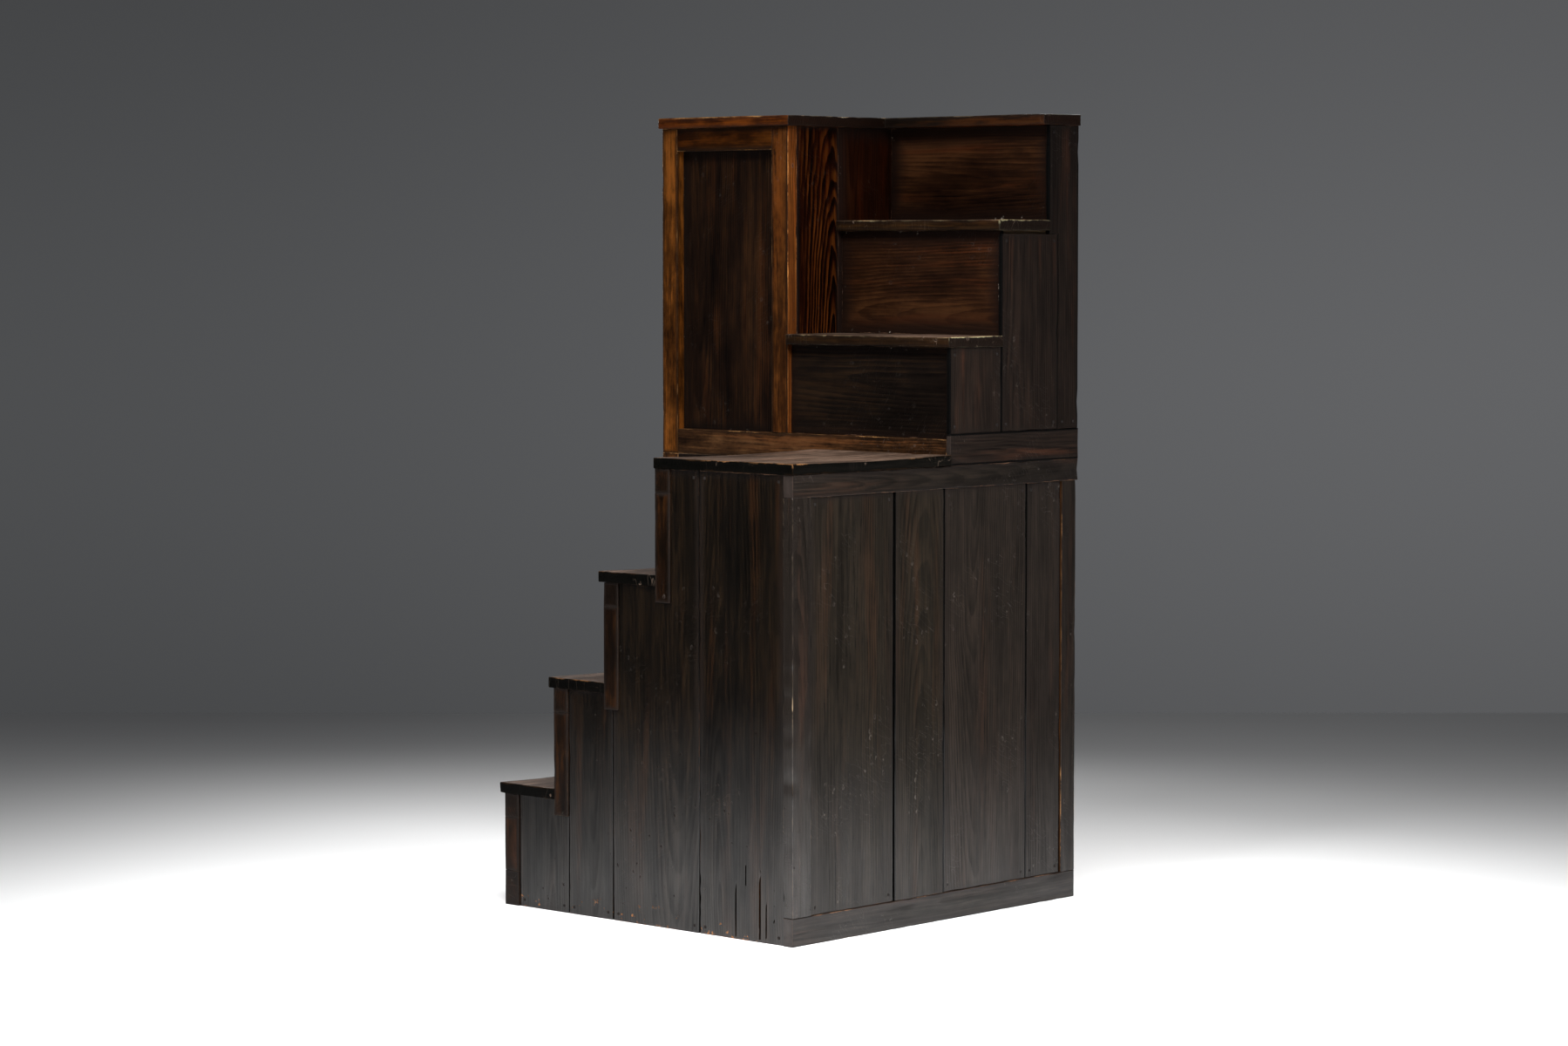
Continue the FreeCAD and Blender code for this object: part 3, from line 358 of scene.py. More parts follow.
def iron(name, **changes):
    look = {**ironLook, **changes}
    paint = Finish(bpy.data.materials.new(name))
    place = paint.node("ShaderNodeTexCoord", None, None, "Object")
    hammer = paint.cells(place, look["hammerMarks"])
    pits = paint.clouds(place, *look["pits"])
    bloom = paint.clouds(place, *look["blooms"])
    colour = paint.ramp(pits * look["pitShare"] + bloom * (1 - look["pitShare"]),
                        list(zip(look["tones"], (look["dark"], look["light"]))))
    rust = paint.between(bloom, *look["rustShows"]) * look["rustShare"]
    return paint.finish(
        Base_Color=paint.blended(rust, colour, look["rust"]), Metallic=(1.0 - rust) * look["metal"],
        Specular_IOR_Level=look["specular"],
        Roughness=look["roughness"] + (pits - 0.5) * look["pitRough"] + rust * look["rustRough"],
        Normal=paint.relief(hammer * look["hammerDeep"] + pits * look["pitDeep"], look["relief"]))


golden = {
    "dark": (0.0115, 0.0038, 0.0009), "middle": (0.057, 0.0180, 0.0028),
    "light": (0.170, 0.0540, 0.0082), "glow": (0.235, 0.0620, 0.0080),
    "grime": (0.01152, 0.00576, 0.00288), "worn": (0.578, 0.289, 0.102), "grimeWide": 0.009,
    "grimeShare": 0.85, "bands": 0.6, "streaks": 0.7, "patches": 1.7, "mottle": 0.9, "roughness": 0.38,
    "coat": 0.0333, "ringPitch": 0.004, "rings": 0.12, "scuffs": 0.12, "pits": 0.3,
}
riser = {
    "dark": (0.00383, 0.00153, 0.0009), "middle": (0.0164, 0.00613, 0.00257),
    "light": (0.0527, 0.0202, 0.00708), "glow": (0.0549, 0.0131, 0.00385), "coat": 0.0333, "warm": 0.5,
    "grime": (0.0068, 0.0034, 0.00238), "grimeWide": 0.055, "grimeShare": 0.9, "ringPitch": 0.008,
    "rings": 0.16, "roughness": 0.36, "bands": 0.45, "streaks": 0.35, "fibres": 0.6, "patches": 1.3,
    "flecks": 0.5, "scuffs": 0.07, "pits": 0.3,
}
tread = {
    "dark": (0.0155, 0.0104, 0.0077), "middle": (0.0519, 0.034, 0.0247),
    "light": (0.14, 0.0906, 0.0647), "worn": (0.442, 0.2125, 0.085), "wornWide": 0.003,
    "wornShare": 0.6, "wornTop": 0.95, "endShare": 0.9, "specular": 0.03, "coat": 0.00999,
    "roughness": 0.36, "bands": 0.6, "streaks": 1.1, "patches": 1.5, "mottle": 0.6, "scuffs": 0.4,
    "scuffColour": (0.238, 0.17, 0.1275), "dents": 0.6,
}

finishes = {
    "wallSide": wood(
        "wall_side_wood", specular=0.02, coat=0.2, dark=(0.0033, 0.0025, 0.0019),
        middle=(0.0100, 0.0076, 0.0054), light=(0.0235, 0.0160, 0.0103), glow=(0.040, 0.0160, 0.0072),
        warm=0.3, streaks=0.45, fibres=0.9, scuffs=0.32, pits=0.85, seam=1.0),
    "wallRight": wood(
        "wall_side_right_wood", specular=0.02, coat=0.2, dark=(0.00396, 0.00297, 0.00239),
        middle=(0.0138, 0.0103, 0.00822), light=(0.0303, 0.0206, 0.0153),
        glow=(0.0419, 0.0171, 0.00925), warm=0.3, scuffs=0.34, pits=0.85, seam=1.0),
    "wallLeft": wood(
        "wall_side_left_wood", specular=0.01, coat=0.24, coatRoughness=0.13, combed=0.7, bands=0.45,
        streaks=0.7, fibres=1.0, patches=0.8, mottle=0.4, toneSpread=0.06, warm=0.55,
        dark=(0.0008, 0.00055, 0.0003), middle=(0.0031, 0.0019, 0.0010), light=(0.0115, 0.0062, 0.0026),
        glow=(0.020, 0.0070, 0.0020), footWear=0.9, seam=0.8, scuffs=0.1),
    "wallUpper": wood(
        "wall_side_upper_wood", dark=(0.00431, 0.00293, 0.00244), middle=(0.0112, 0.00773, 0.006),
        light=(0.0259, 0.0155, 0.0111), scuffs=0.2, streaks=0.5, fibres=0.9, wornShare=0.12, seam=1.0,
        seamWide=0.0055),
    "wallRail": wood(
        "wall_side_rail_wood", specular=0.02, coat=0.2, dark=(0.0036, 0.0028, 0.0022),
        middle=(0.0110, 0.0084, 0.0066), light=(0.0270, 0.0185, 0.0130), glow=(0.045, 0.0175, 0.0085),
        rings=0.15, endShare=0.8, dents=1.4),
    "post": wood(
        "corner_post_wood", specular=0.02, coat=0.266, dark=(0.00389, 0.0029, 0.00215),
        middle=(0.00975, 0.00721, 0.00546), light=(0.0194, 0.0145, 0.0106), worn=(0.62, 0.459, 0.289),
        wornWide=0.0015, wornShare=0.45, warm=0.2, dents=1.5),
    "stile": wood(
        "stair_stile_wood", ends=(0.006, 0.0035, 0.0022), endShare=0.5, mottle=0.8,
        dark=(0.00237, 0.000981, 0.000282), middle=(0.0072, 0.0026, 0.0007),
        light=(0.031, 0.0105, 0.0021), warm=0.3, patches=1.8, grimeShare=0.85, grimeWide=0.01,
        worn=(0.408, 0.204, 0.085), wornShare=0.05, dents=1.5),
    "golden": wood("golden_frame_wood", **golden),
    "goldenPost": wood("golden_post_wood", **{
        **golden, "dark": (0.0062, 0.0021, 0.0007), "middle": (0.029, 0.0092, 0.0020),
        "light": (0.092, 0.0295, 0.0058), "glow": (0.125, 0.0340, 0.0055), "wornShare": 0.2}),
    # a darker copy of the golden wood for the top rail: darker wood, and painted shadow under the
    # overhang of the top boards
    "goldenTop": wood("golden_top_rail_wood", **{
        **golden, "dark": (0.00439, 0.0013, 0.000256), "middle": (0.0169, 0.00464, 0.000599),
        "light": (0.0526, 0.0153, 0.0018), "glow": (0.069, 0.0167, 0.00171), "grimeWide": 0.016}),
    "goldenFoot": wood("golden_foot_rail_wood", **{
        **golden, "dark": (0.00859, 0.0038, 0.00178), "middle": (0.0317, 0.0137, 0.00535),
        "light": (0.0899, 0.0405, 0.0153), "glow": (0.113, 0.038, 0.0115), "scuffs": 0.6,
        "grimeWide": 0.012}),
    "panel": wood(
        "dark_panel_wood", dark=(0.00187, 0.000955, 0.000643), middle=(0.0075, 0.00334, 0.00168),
        light=(0.0281, 0.0113, 0.00385), glow=(0.0403, 0.0125, 0.00322), coat=0.0333, bands=0.6,
        streaks=0.65, fibres=0.7, patches=1.2, grime=(0.0051, 0.0034, 0.00272), grimeWide=0.04,
        grimeShare=0.85, scuffs=0.1, pits=0.2, flecks=0.9),
    "door": wood("door_frame_wood", **{
        **golden, "dark": (0.012, 0.0050, 0.0022), "middle": (0.050, 0.0195, 0.0068),
        "light": (0.125, 0.052, 0.017), "glow": (0.16, 0.052, 0.013), "warm": 0.35, "patches": 0.7,
        "mottle": 0.4, "grimeWide": 0.014, "rings": 0.3, "ringPitch": 0.006}),
    "doorPanel": wood("door_panel_wood", **{
        **golden, "dark": (0.009, 0.0040, 0.0020), "middle": (0.034, 0.0150, 0.0062),
        "light": (0.085, 0.038, 0.014), "glow": (0.10, 0.038, 0.011), "warm": 0.3, "patches": 0.6,
        "mottle": 0.3, "grimeWide": 0.02, "rings": 0.5, "ringPitch": 0.008, "wander": 0.03}),
    "nicheOrange": wood(
        "niche_orange_wood", scuffs=0.08, pits=0.2, tilt=0.09, dark=(0.0022, 0.0006, 0.0003),
        middle=(0.0115, 0.0022, 0.0006), light=(0.088, 0.0235, 0.0038), coat=0.0333,
        glow=(0.070, 0.0105, 0.0011), warm=0.6, rings=0.6, ringPitch=0.0095, wander=0.034,
        pithDeep=0.012, bands=1.2, streaks=1.3, roughness=0.32, grimeWide=0.012, grimeShare=0.6,
        ends=(0.068, 0.0272, 0.0102)),
    "nicheSide": wood(
        "niche_stile_side_wood", dark=(0.0204, 0.0068, 0.00272), middle=(0.102, 0.0289, 0.00612),
        light=(0.289, 0.0952, 0.017), glow=(0.34, 0.0748, 0.0102), warm=0.5, rings=0.3,
        worn=(0.612, 0.238, 0.0595), wornShare=0.8, wornWide=0.003, grimeShare=0.0),
    "nicheRed": wood(
        "niche_red_wood", scuffs=0.12, pits=0.2, dark=(0.0036, 0.0012, 0.0007),
        middle=(0.0160, 0.0041, 0.0016), light=(0.0400, 0.0120, 0.0036), glow=(0.052, 0.0095, 0.0018),
        warm=0.6, roughness=0.34, fibres=0.6, grimeWide=0.05, grimeShare=0.7, flecks=0.4),
    "riser": wood("riser_wood", **riser),
    "riserDark": wood("riser_dark_wood", **{
        **riser, "dark": (0.00182, 0.0012, 0.000969), "middle": (0.00464, 0.00292, 0.00204),
        "light": (0.0156, 0.00815, 0.00388), "glow": (0.0216, 0.00858, 0.00291), "ringPitch": 0.01,
        "rings": 0.25, "tilt": 0.05, "warm": 0.25, "grimeWide": 0.03, "grimeShare": 0.6, "scuffs": 0.06}),
    "tread": wood("tread_wood", **tread),
    "stepEdge": wood("step_edge_wood", **{
        **tread, "dark": (0.0016, 0.0016, 0.0013), "middle": (0.0040, 0.0036, 0.0030),
        "light": (0.0100, 0.0080, 0.0062), "glow": (0.014, 0.0070, 0.0045), "wornShare": 0.4,
        "ends": (0.0010, 0.0010, 0.0008), "grime": (0.0022, 0.0020, 0.0016), "coat": 0}),
    "treadEdge": wood("tread_edge_wood", **{
        **tread, "dark": (0.003, 0.0014, 0.0006), "middle": (0.0105, 0.0048, 0.0017),
        "light": (0.030, 0.0135, 0.004), "glow": (0.035, 0.011, 0.0025), "worn": (0.62, 0.561, 0.323),
        "wornShare": 0.5, "grimeShare": 0.3, "ends": (0.0085, 0.0055, 0.0042)}),
    # darker copies of the tread wood for the top's edges: painted shade on the -Y faces, whose right end
    # is also dark end grain, and on the edge over the niche
    "topDark": wood("top_board_dark_wood", **{
        **tread, "dark": (0.0060, 0.0026, 0.0014), "middle": (0.0240, 0.0090, 0.0035),
        "light": (0.095, 0.034, 0.0095), "glow": (0.120, 0.026, 0.0060), "coat": 0.0333, "warm": 0.5,
        "worn": (0.62, 0.51, 0.34), "wornWide": 0.0022, "ends": (0.0125, 0.0055, 0.0034)}),
    "topDull": wood("top_board_dull_wood", **{
        **tread, "dark": (0.0034, 0.0019, 0.0011), "middle": (0.0135, 0.0058, 0.0022),
        "light": (0.062, 0.0235, 0.0062), "glow": (0.0768, 0.0188, 0.00183), "coat": 0.0333,
        "bands": 1.2, "worn": (0.62, 0.51, 0.34), "wornWide": 0.0022}),
    "top": wood("top_board_wood", **{
        **tread, "dark": (0.00924, 0.00215, 0.000243), "middle": (0.0359, 0.00786, 0.000546),
        "light": (0.154, 0.0355, 0.00213), "glow": (0.184, 0.0277, 0.00121), "coat": 0.0333,
        "warm": 0.5, "bands": 1.4, "worn": (0.544, 0.289, 0.1105), "ends": (0.0476, 0.0306, 0.0221)}),
    "bare": wood(
        "bare_inner_wood", dark=(0.1, 0.062, 0.034), middle=(0.19, 0.125, 0.072),
        light=(0.3, 0.21, 0.13), glow=(0.28, 0.16, 0.08), worn=(0.51, 0.374, 0.238),
        grime=(0.06, 0.04, 0.025), ends=(0.16, 0.1, 0.06), roughness=0.68, roughSpread=0.1, coat=0,
        wornShare=0.2, rings=0.4, bands=0.6, streaks=0.7, scuffs=0.2, warm=0.2,
        scuffColour=(0.136, 0.0935, 0.0595)),
    "iron": iron("black_iron"),
    "nails": iron(
        "nail_iron", dark=(0.006, 0.0052, 0.0048), light=(0.022, 0.018, 0.016),
        rust=(0.014, 0.006, 0.003), metal=0.0, specular=0.1, roughness=0.7),
}
print("finishes ready:", len(finishes))


# Boards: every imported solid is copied, its arrises eased, and its faces made slightly uneven

boardSetup = {
    "ease": 0.0011,            # metres cut off an arris
    "easeShare": 0.2,          # and never more than this share of the thickness
    "pitch": 0.040,            # distance between the cuts that let a board's faces go uneven
    "wave": 0.00028,           # hand planed unevenness
    "waveTurns": (8, 27), "fineShare": 0.4,
    "chip": 0.0022,            # deepest bite out of an arris
    "chipTurns": 38, "chipLeast": 0.18, "chipReach": 1.6,
    "apart": 40,               # how far a seed moves its board through the noise
    "sharp": math.radians(18),
    "soft": math.radians(50),  # shading stays smooth below this angle
}
faceSetup = {"facing": 0.6, "square": 0.8}    # a face's share of a direction, with its arrises or without
meshSetup = {
    "digits": 5, "merge": 1e-5, "cut": 1e-6,      # decimals and metres within which points are one
    "flat": math.radians(0.05),                   # faces that meet below this angle are one
}


def solidsOf(node):
    # the closed solids of a node, whose triangles follow one another, each merged and cleaned
    mesh = nodes[node].data
    spots = [tuple(round(part, meshSetup["digits"]) for part in vert.co) for vert in mesh.vertices]
    solids, members, unpaired = [], set(), set()
    for polygon in mesh.polygons:
        members.add(polygon.index)
        corners = [spots[index] for index in polygon.vertices]
        for first, second in zip(corners, corners[1:] + corners[:1]):
            unpaired ^= {frozenset((first, second))}
        if not unpaired:
            solids.append(members)
            members = set()
    found = []
    for members in solids + ([members] if members else []):
        bm = bmesh.new()
        bm.from_mesh(mesh)
        others = [face for face in bm.faces if face.index not in members]
        bmesh.ops.delete(bm, geom=others, context="FACES")
        bmesh.ops.remove_doubles(bm, verts=bm.verts, dist=meshSetup["merge"])
        bmesh.ops.dissolve_limit(bm, angle_limit=meshSetup["flat"], verts=bm.verts, edges=bm.edges)
        found.append(bm)
    return found


def boxOf(verts):
    low = Vector([min(vert.co[axis] for vert in verts) for axis in range(3)])
    high = Vector([max(vert.co[axis] for vert in verts) for axis in range(3)])
    return low, high


def cut(bm, place, normal):
    whole = bm.verts[:] + bm.edges[:] + bm.faces[:]
    bmesh.ops.bisect_plane(bm, geom=whole, dist=meshSetup["cut"], plane_co=place, plane_no=normal)


def cutAcross(bm, axis, low, high, pitch):
    count = int((high - low) / pitch)
    normal = Vector([axis == number for number in range(3)])
    for number in range(1, count):
        cut(bm, normal * (low + (high - low) * number / count), normal)


def wornBoard(bm, low, high, rng, look):
    # eases, cuts and wears one board; returns its points along the grain, its size and its seed
    size = high - low
    order = sorted(range(3), key=lambda axis: -size[axis])
    if "along" in look:
        order.remove(look["along"])
        order.insert(0, look["along"])
    sharp = [edge for edge in bm.edges
             if len(edge.link_faces) == 2 and edge.calc_face_angle(0) > look["sharp"]]
    ease = min(look["ease"], size[order[2]] * look["easeShare"])
    bmesh.ops.bevel(bm, geom=sharp, offset=ease, offset_type="OFFSET", segments=2, profile=0.5,
                    affect="EDGES", material=-1, clamp_overlap=True)
    for axis in order[:2]:
        cutAcross(bm, axis, low[axis], high[axis], look["pitch"])
    if size[order[2]] > look["pitch"]:
        cutAcross(bm, order[2], low[order[2]], high[order[2]], look["pitch"])
    seed = Vector([rng.random() for number in range(3)])
    bm.normal_update()
    rest = [vert.co.copy() for vert in bm.verts]
    middle = (low + high) / 2
    shift = seed * look["apart"]
    broad, fine = look["waveTurns"]
    moves = []
    for vert in bm.verts:
        place = vert.co + shift
        swell = noise.noise(place * broad) + noise.noise(place * fine) * look["fineShare"]
        move = vert.normal * (swell * look["wave"])
        gaps = [min(vert.co[axis] - low[axis], high[axis] - vert.co[axis]) for axis in range(3)]
        near = sorted(range(3), key=lambda axis: gaps[axis])
        if gaps[near[1]] < ease * look["chipReach"]:
            bite = max(0.0, noise.noise(place * look["chipTurns"]) - look["chipLeast"]) * look["chip"]
            for axis in near[:2]:
                move[axis] += math.copysign(bite, middle[axis] - vert.co[axis])
        moves.append(move)
    for vert, move in zip(bm.verts, moves):
        vert.co += move
    places = [[co[axis] - low[axis] for axis in order] for co in rest]
    return places, [size[axis] for axis in order], seed


splitSetup = {
    "steps": 8, "ends": 0.01,           # cuts along the groove, and the share left alone at its ends
    "near": 2e-5, "facing": 0.9,        # metres from its middle line, and how squarely a point looks out
    "footOpen": 0.3,                    # how far along its taper the foot already is
    "turns": 60, "sway": 0.9,           # its crookedness, in turns per metre and in its own width
}


def split(bm, check, outward):
    # a drying check: an upright groove along the grain, open at the foot and closing at the top
    across, up = Vector((0, 1, 0)), Vector((0, 0, 1))
    for shift in (-check["wide"], 0, check["wide"]):
        cut(bm, across * (check["at"] + shift), across)
    long, steps, ends = check["high"] - check["low"], splitSetup["steps"], splitSetup["ends"]
    for number in range(steps + 1):
        cut(bm, up * (check["low"] + long * number / steps), up)
    bm.normal_update()
    for vert in bm.verts:
        share = (vert.co.z - check["low"]) / long
        if ends < share < 1 - ends and abs(vert.co.y - check["at"]) < splitSetup["near"] \
                and vert.normal.dot(outward) > splitSetup["facing"]:
            taper = math.sin(math.pi * min(1.0, share + splitSetup["footOpen"] * (share < 0.5))) ** 0.5
            vert.co -= outward * check["deep"] * taper
            vert.co.y += noise.noise(vert.co * splitSetup["turns"]) * check["wide"] * splitSetup["sway"]


def madePiece(name, mesh, node, *others):
    piece = bpy.data.objects.new(name, mesh)
    bpy.context.scene.collection.objects.link(piece)
    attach(piece, bodyOf[node])
    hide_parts(node, *others)
    return piece


def boards(node, finish, pick=None, reshape=None, **changes):
    look = {**boardSetup, **changes}
    used = finish if isinstance(finish, list) else [finish]
    rng = random.Random(node)
    whole = bmesh.new()
    places, sizes, seeds = [], [], []
    for board in solidsOf(node):
        low, high = boxOf(board.verts)
        for check in look.get("checks", ()):
            split(board, check, look["outward"])
        placed, size, seed = wornBoard(board, low, high, rng, look)
        if reshape:
            reshape(board, low, high)
        board.normal_update()
        for face in board.faces:
            face.material_index = pick(high - low, face.normal, face.calc_center_median()) if pick else 0
        places += placed
        sizes += [size] * len(placed)
        seeds += [seed] * len(placed)
        carrier = bpy.data.meshes.new("carrier")
        board.to_mesh(carrier)
        board.free()
        whole.from_mesh(carrier)
        bpy.data.meshes.remove(carrier)
    mesh = bpy.data.meshes.new(node + "_boards")
    whole.to_mesh(mesh)
    whole.free()
    for name, rows in (("boardPlace", places), ("boardSize", sizes), ("boardSeed", seeds)):
        layer = mesh.attributes.new(name, "FLOAT_VECTOR", "POINT")
        layer.data.foreach_set("vector", [number for row in rows for number in row])
    for key in used:
        mesh.materials.append(finishes[key])
    mesh.shade_smooth()
    mesh.set_sharp_from_angle(angle=look["soft"])
    piece = madePiece(node + "_boards", mesh, node)
    piece.modifiers.new("even_shading", "WEIGHTED_NORMAL").keep_sharp = True


# Wall sides: planks nailed into their frames, dark and knocked about

plankSetup = {
    # metres taken off each long edge, over the whole height and towards the foot
    "gap": {"right_plank_1": (0.0006, 0), "right_plank_2": (0.0016, 0), "right_plank_3": (0.0016, 0),
            "right_plank_4": (0.0004, 0), "left_plank_1": (0.0004, 0), "left_plank_2": (0.0010, 0.0006),
            "left_plank_3": (0.0007, 0.0016), "left_plank_4": (0.0003, 0.0014)},
    "proud": {"right_plank_2": 0.003, "right_plank_3": 0.0008},
    "openBelow": 0.30,
    "checks": [
        {"at": -0.280, "low": 0.004, "high": 0.13, "wide": 0.0022, "deep": 0.007},
        {"at": -0.352, "low": 0.006, "high": 0.16, "wide": 0.0030, "deep": 0.008},
        {"at": -0.371, "low": 0.010, "high": 0.09, "wide": 0.0020, "deep": 0.007},
        {"at": -0.310, "low": 0.12, "high": 0.17, "wide": 0.0016, "deep": 0.005},
        {"at": -0.395, "low": 0.05, "high": 0.12, "wide": 0.0016, "deep": 0.005},
    ],
}


def plankReshape(node, across=0):
    always, below = plankSetup["gap"][node]
    proud = plankSetup["proud"].get(node, 0)

    def reshape(bm, low, high):
        middle, half = (low[across] + high[across]) / 2, (high[across] - low[across]) / 2
        for vert in bm.verts:
            gap = always + below * max(0.0, 1 - vert.co.z / plankSetup["openBelow"])
            vert.co[across] = middle + (vert.co[across] - middle) * (half - gap) / half
            vert.co.y -= proud
    return reshape


outside = {"pitch": 0.03, "chip": 0.003}      # boards that have been knocked more than most
finer = {"ease": 0.0008, "chip": 0.0014}      # thin joinery
for node in ("right_plank_1", "right_plank_2"):
    boards(node, "wallSide", reshape=plankReshape(node), pitch=0.03)
for node in ("right_plank_3", "right_plank_4"):
    boards(node, "wallRight", reshape=plankReshape(node), pitch=0.03)
for node in ("left_plank_1", "left_plank_2", "left_plank_3", "left_plank_4"):
    boards(node, "wallLeft", reshape=plankReshape(node, 1), pitch=0.03, outward=Vector((-1, 0, 0)),
           checks=plankSetup["checks"] if node == "left_plank_4" else ())
for node in ("upper_right_plank_1", "upper_right_plank_2", "upper_rear_board", "upper_right_rail"):
    boards(node, "wallUpper", **outside)
boards("near_corner_post", "post", pitch=0.015, ease=0.0016, chip=0.0045, wave=0.0004)
for node in ("right_bottom_rail", "right_top_rail"):
    boards(node, "wallRail", pitch=0.02, ease=0.0014, chip=0.004, wave=0.0004)
boards("lower_posts", ["wallRail", "door"], pitch=0.03,
       pick=lambda size, way, place: int(way.y > -faceSetup["square"]))
print("wall sides done")

# Treads, platform and top, worn by feet

topSetup = {"dullFrom": 0.1}   # past this x the edge over the niche gets painted shade


# -Y faces take the shaded side copy, the -X edge over the niche the shaded edge copy: painted shade
def topPick(size, way, place):
    if way.y < -faceSetup["facing"]:
        return 1
    return 2 if way.x < -faceSetup["facing"] and place.x > topSetup["dullFrom"] else 0


for node in ("tread_1", "tread_2", "tread_3", "platform", "upper_tread_1", "upper_tread_2"):
    boards(node, ["tread", "treadEdge" if node.startswith("upper") else "stepEdge"],
           pick=lambda size, way, place: int(way.z < faceSetup["facing"]),
           pitch=0.02, wave=0.0006, chip=0.003)
boards("top_boards", ["top", "topDark", "topDull"], along=1, pick=topPick,
       pitch=0.02, wave=0.0007, chip=0.003)
print("treads done")

# Frames and panels of the stair front and of the upper front

boards("upper_front_top_rail", "goldenTop", **outside)
boards("upper_front_bottom_rail", "goldenFoot", **outside)
boards("upper_corner_post", "golden", **outside)
boards("niche_stile", ["goldenPost", "nicheSide"],
       pick=lambda size, way, place: int(way.y < -faceSetup["square"]), **outside)
boards("riser_frames", "stile", wave=0.0002, **outside)
for node, finish in (("riser_panels", "riserDark"), ("upper_front_panel", "panel"),
                     ("upper_riser_panel_1", "riserDark"), ("upper_riser_panel_2", "riser"),
                     ("upper_riser_panel_3", "riser"), ("niche_board_1", "nicheOrange"),
                     ("niche_board_2", "nicheRed")):
    boards(node, finish)
print("fronts done")

# End side, room side and the inside

doorSetup = {"panelThick": 0.0055, "panelHigh": 0.2}    # a door's panel is thinner and taller than these
drawerSetup = {"frontThick": 0.02, "frontFrom": 0.45}   # a drawer's front is no thicker, and past this x

boards("end_rails", "door", chip=0.002)
boards("end_panels", "doorPanel")
for node in ("lower_room_frame", "upper_room_frame"):
    boards(node, "door", chip=0.002)
for node in ("lower_door_front", "lower_door_back", "upper_door_front", "upper_door_back"):
    boards(node, ["door", "doorPanel"], **finer, pick=lambda size, way, place: int(
        size.x < doorSetup["panelThick"] and size.z > doorSetup["panelHigh"]))
for node in ("drawer_near", "drawer_far"):
    boards(node, ["door", "bare"], **finer, pick=lambda size, way, place: int(
        size.x > drawerSetup["frontThick"] or place.x < drawerSetup["frontFrom"]))
for node in ("cleats_and_bearers", "drawer_floor", "cupboard_floor", "lower_top_boards", "upper_floor"):
    boards(node, "bare", pitch=0.06)
boards("stair_wall_boards", ["bare", "panel"], pitch=0.06,
       pick=lambda size, way, place: int(way.x < -faceSetup["facing"]))
print("room side done")

# Iron: hammered nails, posts and cups with eased edges, and drawn bails

pullSetup = {"postEase": 0.0007, "cupEase": 0.0003, "sharp": math.radians(40)}
bailSetup = {
    "bar": 0.0029,                                # radius of the bar
    "eye": 0.005, "bend": 0.031, "pin": 0.021,    # radii of the bends, and how far the pins reach in
    "sides": 16, "tightSteps": 6, "wideSteps": 10, "gripSteps": 8,
}
nailSetup = {"wide": 0.7, "slope": 0.45, "rise": 0.0018, "ease": 0.0004, "twist": 0.15}


def shaded(bm, name, key):
    mesh = bpy.data.meshes.new(name)
    bmesh.ops.recalc_face_normals(bm, faces=bm.faces)
    bm.to_mesh(mesh)
    bm.free()
    mesh.materials.append(finishes[key])
    mesh.shade_smooth()
    mesh.set_sharp_from_angle(angle=pullSetup["sharp"])
    return mesh


def forged(node, ease):
    bm = bmesh.new()
    for solid in solidsOf(node):
        sharp = [edge for edge in solid.edges if edge.calc_face_angle(0) > pullSetup["sharp"]]
        bmesh.ops.bevel(solid, geom=sharp, offset=ease, offset_type="OFFSET", segments=2, profile=0.5,
                        affect="EDGES", material=-1, clamp_overlap=True)
        carrier = bpy.data.meshes.new("carrier")
        solid.to_mesh(carrier)
        solid.free()
        bm.from_mesh(carrier)
        bpy.data.meshes.remove(carrier)
    piece = madePiece(node + "_forged", shaded(bm, node + "_forged", "iron"), node)
    piece.modifiers.new("even_shading", "WEIGHTED_NORMAL").keep_sharp = True


def drawnBail(node):
    # a round bar: pin, turn down, two wide bends, turn in, pin
    shape = bmesh.new()
    shape.from_mesh(nodes[node].data)
    low, high = boxOf(shape.verts)
    shape.free()
    bar, eye, bend, pin = (bailSetup[key] for key in ("bar", "eye", "bend", "pin"))
    x, left, right = (low.x + high.x) / 2, low.y + bar, high.y - bar
    top, bottom = high.z - bar, low.z + bar
    bm = bmesh.new()
    ring = bmesh.ops.create_circle(
        bm, segments=bailSetup["sides"], radius=bar, cap_ends=False,
        matrix=Matrix.Translation((x, left + pin, top)) @ Matrix.Rotation(math.pi / 2, 4, "X"))
    front = list(dict.fromkeys(edge for vert in ring["verts"] for edge in vert.link_edges))
    bmesh.ops.contextual_create(bm, geom=front)

    def straight(edges, way, steps=1):
        for step in range(steps):
            grown = bmesh.ops.extrude_edge_only(bm, edges=edges)["geom"]
            moved = [item for item in grown if isinstance(item, bmesh.types.BMVert)]
            edges = [item for item in grown if isinstance(item, bmesh.types.BMEdge)]
            bmesh.ops.translate(bm, vec=Vector(way) / steps, verts=moved)
        return edges

    def turned(edges, centre, steps):
        grown = bmesh.ops.spin(bm, geom=edges, cent=centre, axis=(1, 0, 0), angle=math.pi / 2,
                               steps=steps, use_duplicate=False)["geom_last"]
        return [item for item in grown if isinstance(item, bmesh.types.BMEdge)]

    tight, wide = bailSetup["tightSteps"], bailSetup["wideSteps"]
    drop = top - bottom - eye - bend
    front = straight(front, (0, -(pin - eye), 0))
    front = turned(front, (x, left + eye, top - eye), tight)
    front = straight(front, (0, 0, -drop), 2)
    front = turned(front, (x, left + bend, bottom + bend), wide)
    front = straight(front, (0, right - left - bend * 2, 0), bailSetup["gripSteps"])
    front = turned(front, (x, right - bend, bottom + bend), wide)
    front = straight(front, (0, 0, drop), 2)
    front = turned(front, (x, right - eye, top - eye), tight)
    front = straight(front, (0, -(pin - eye), 0))
    bmesh.ops.contextual_create(bm, geom=front)
    madePiece(node + "_drawn", shaded(bm, node + "_drawn", "iron"), node)


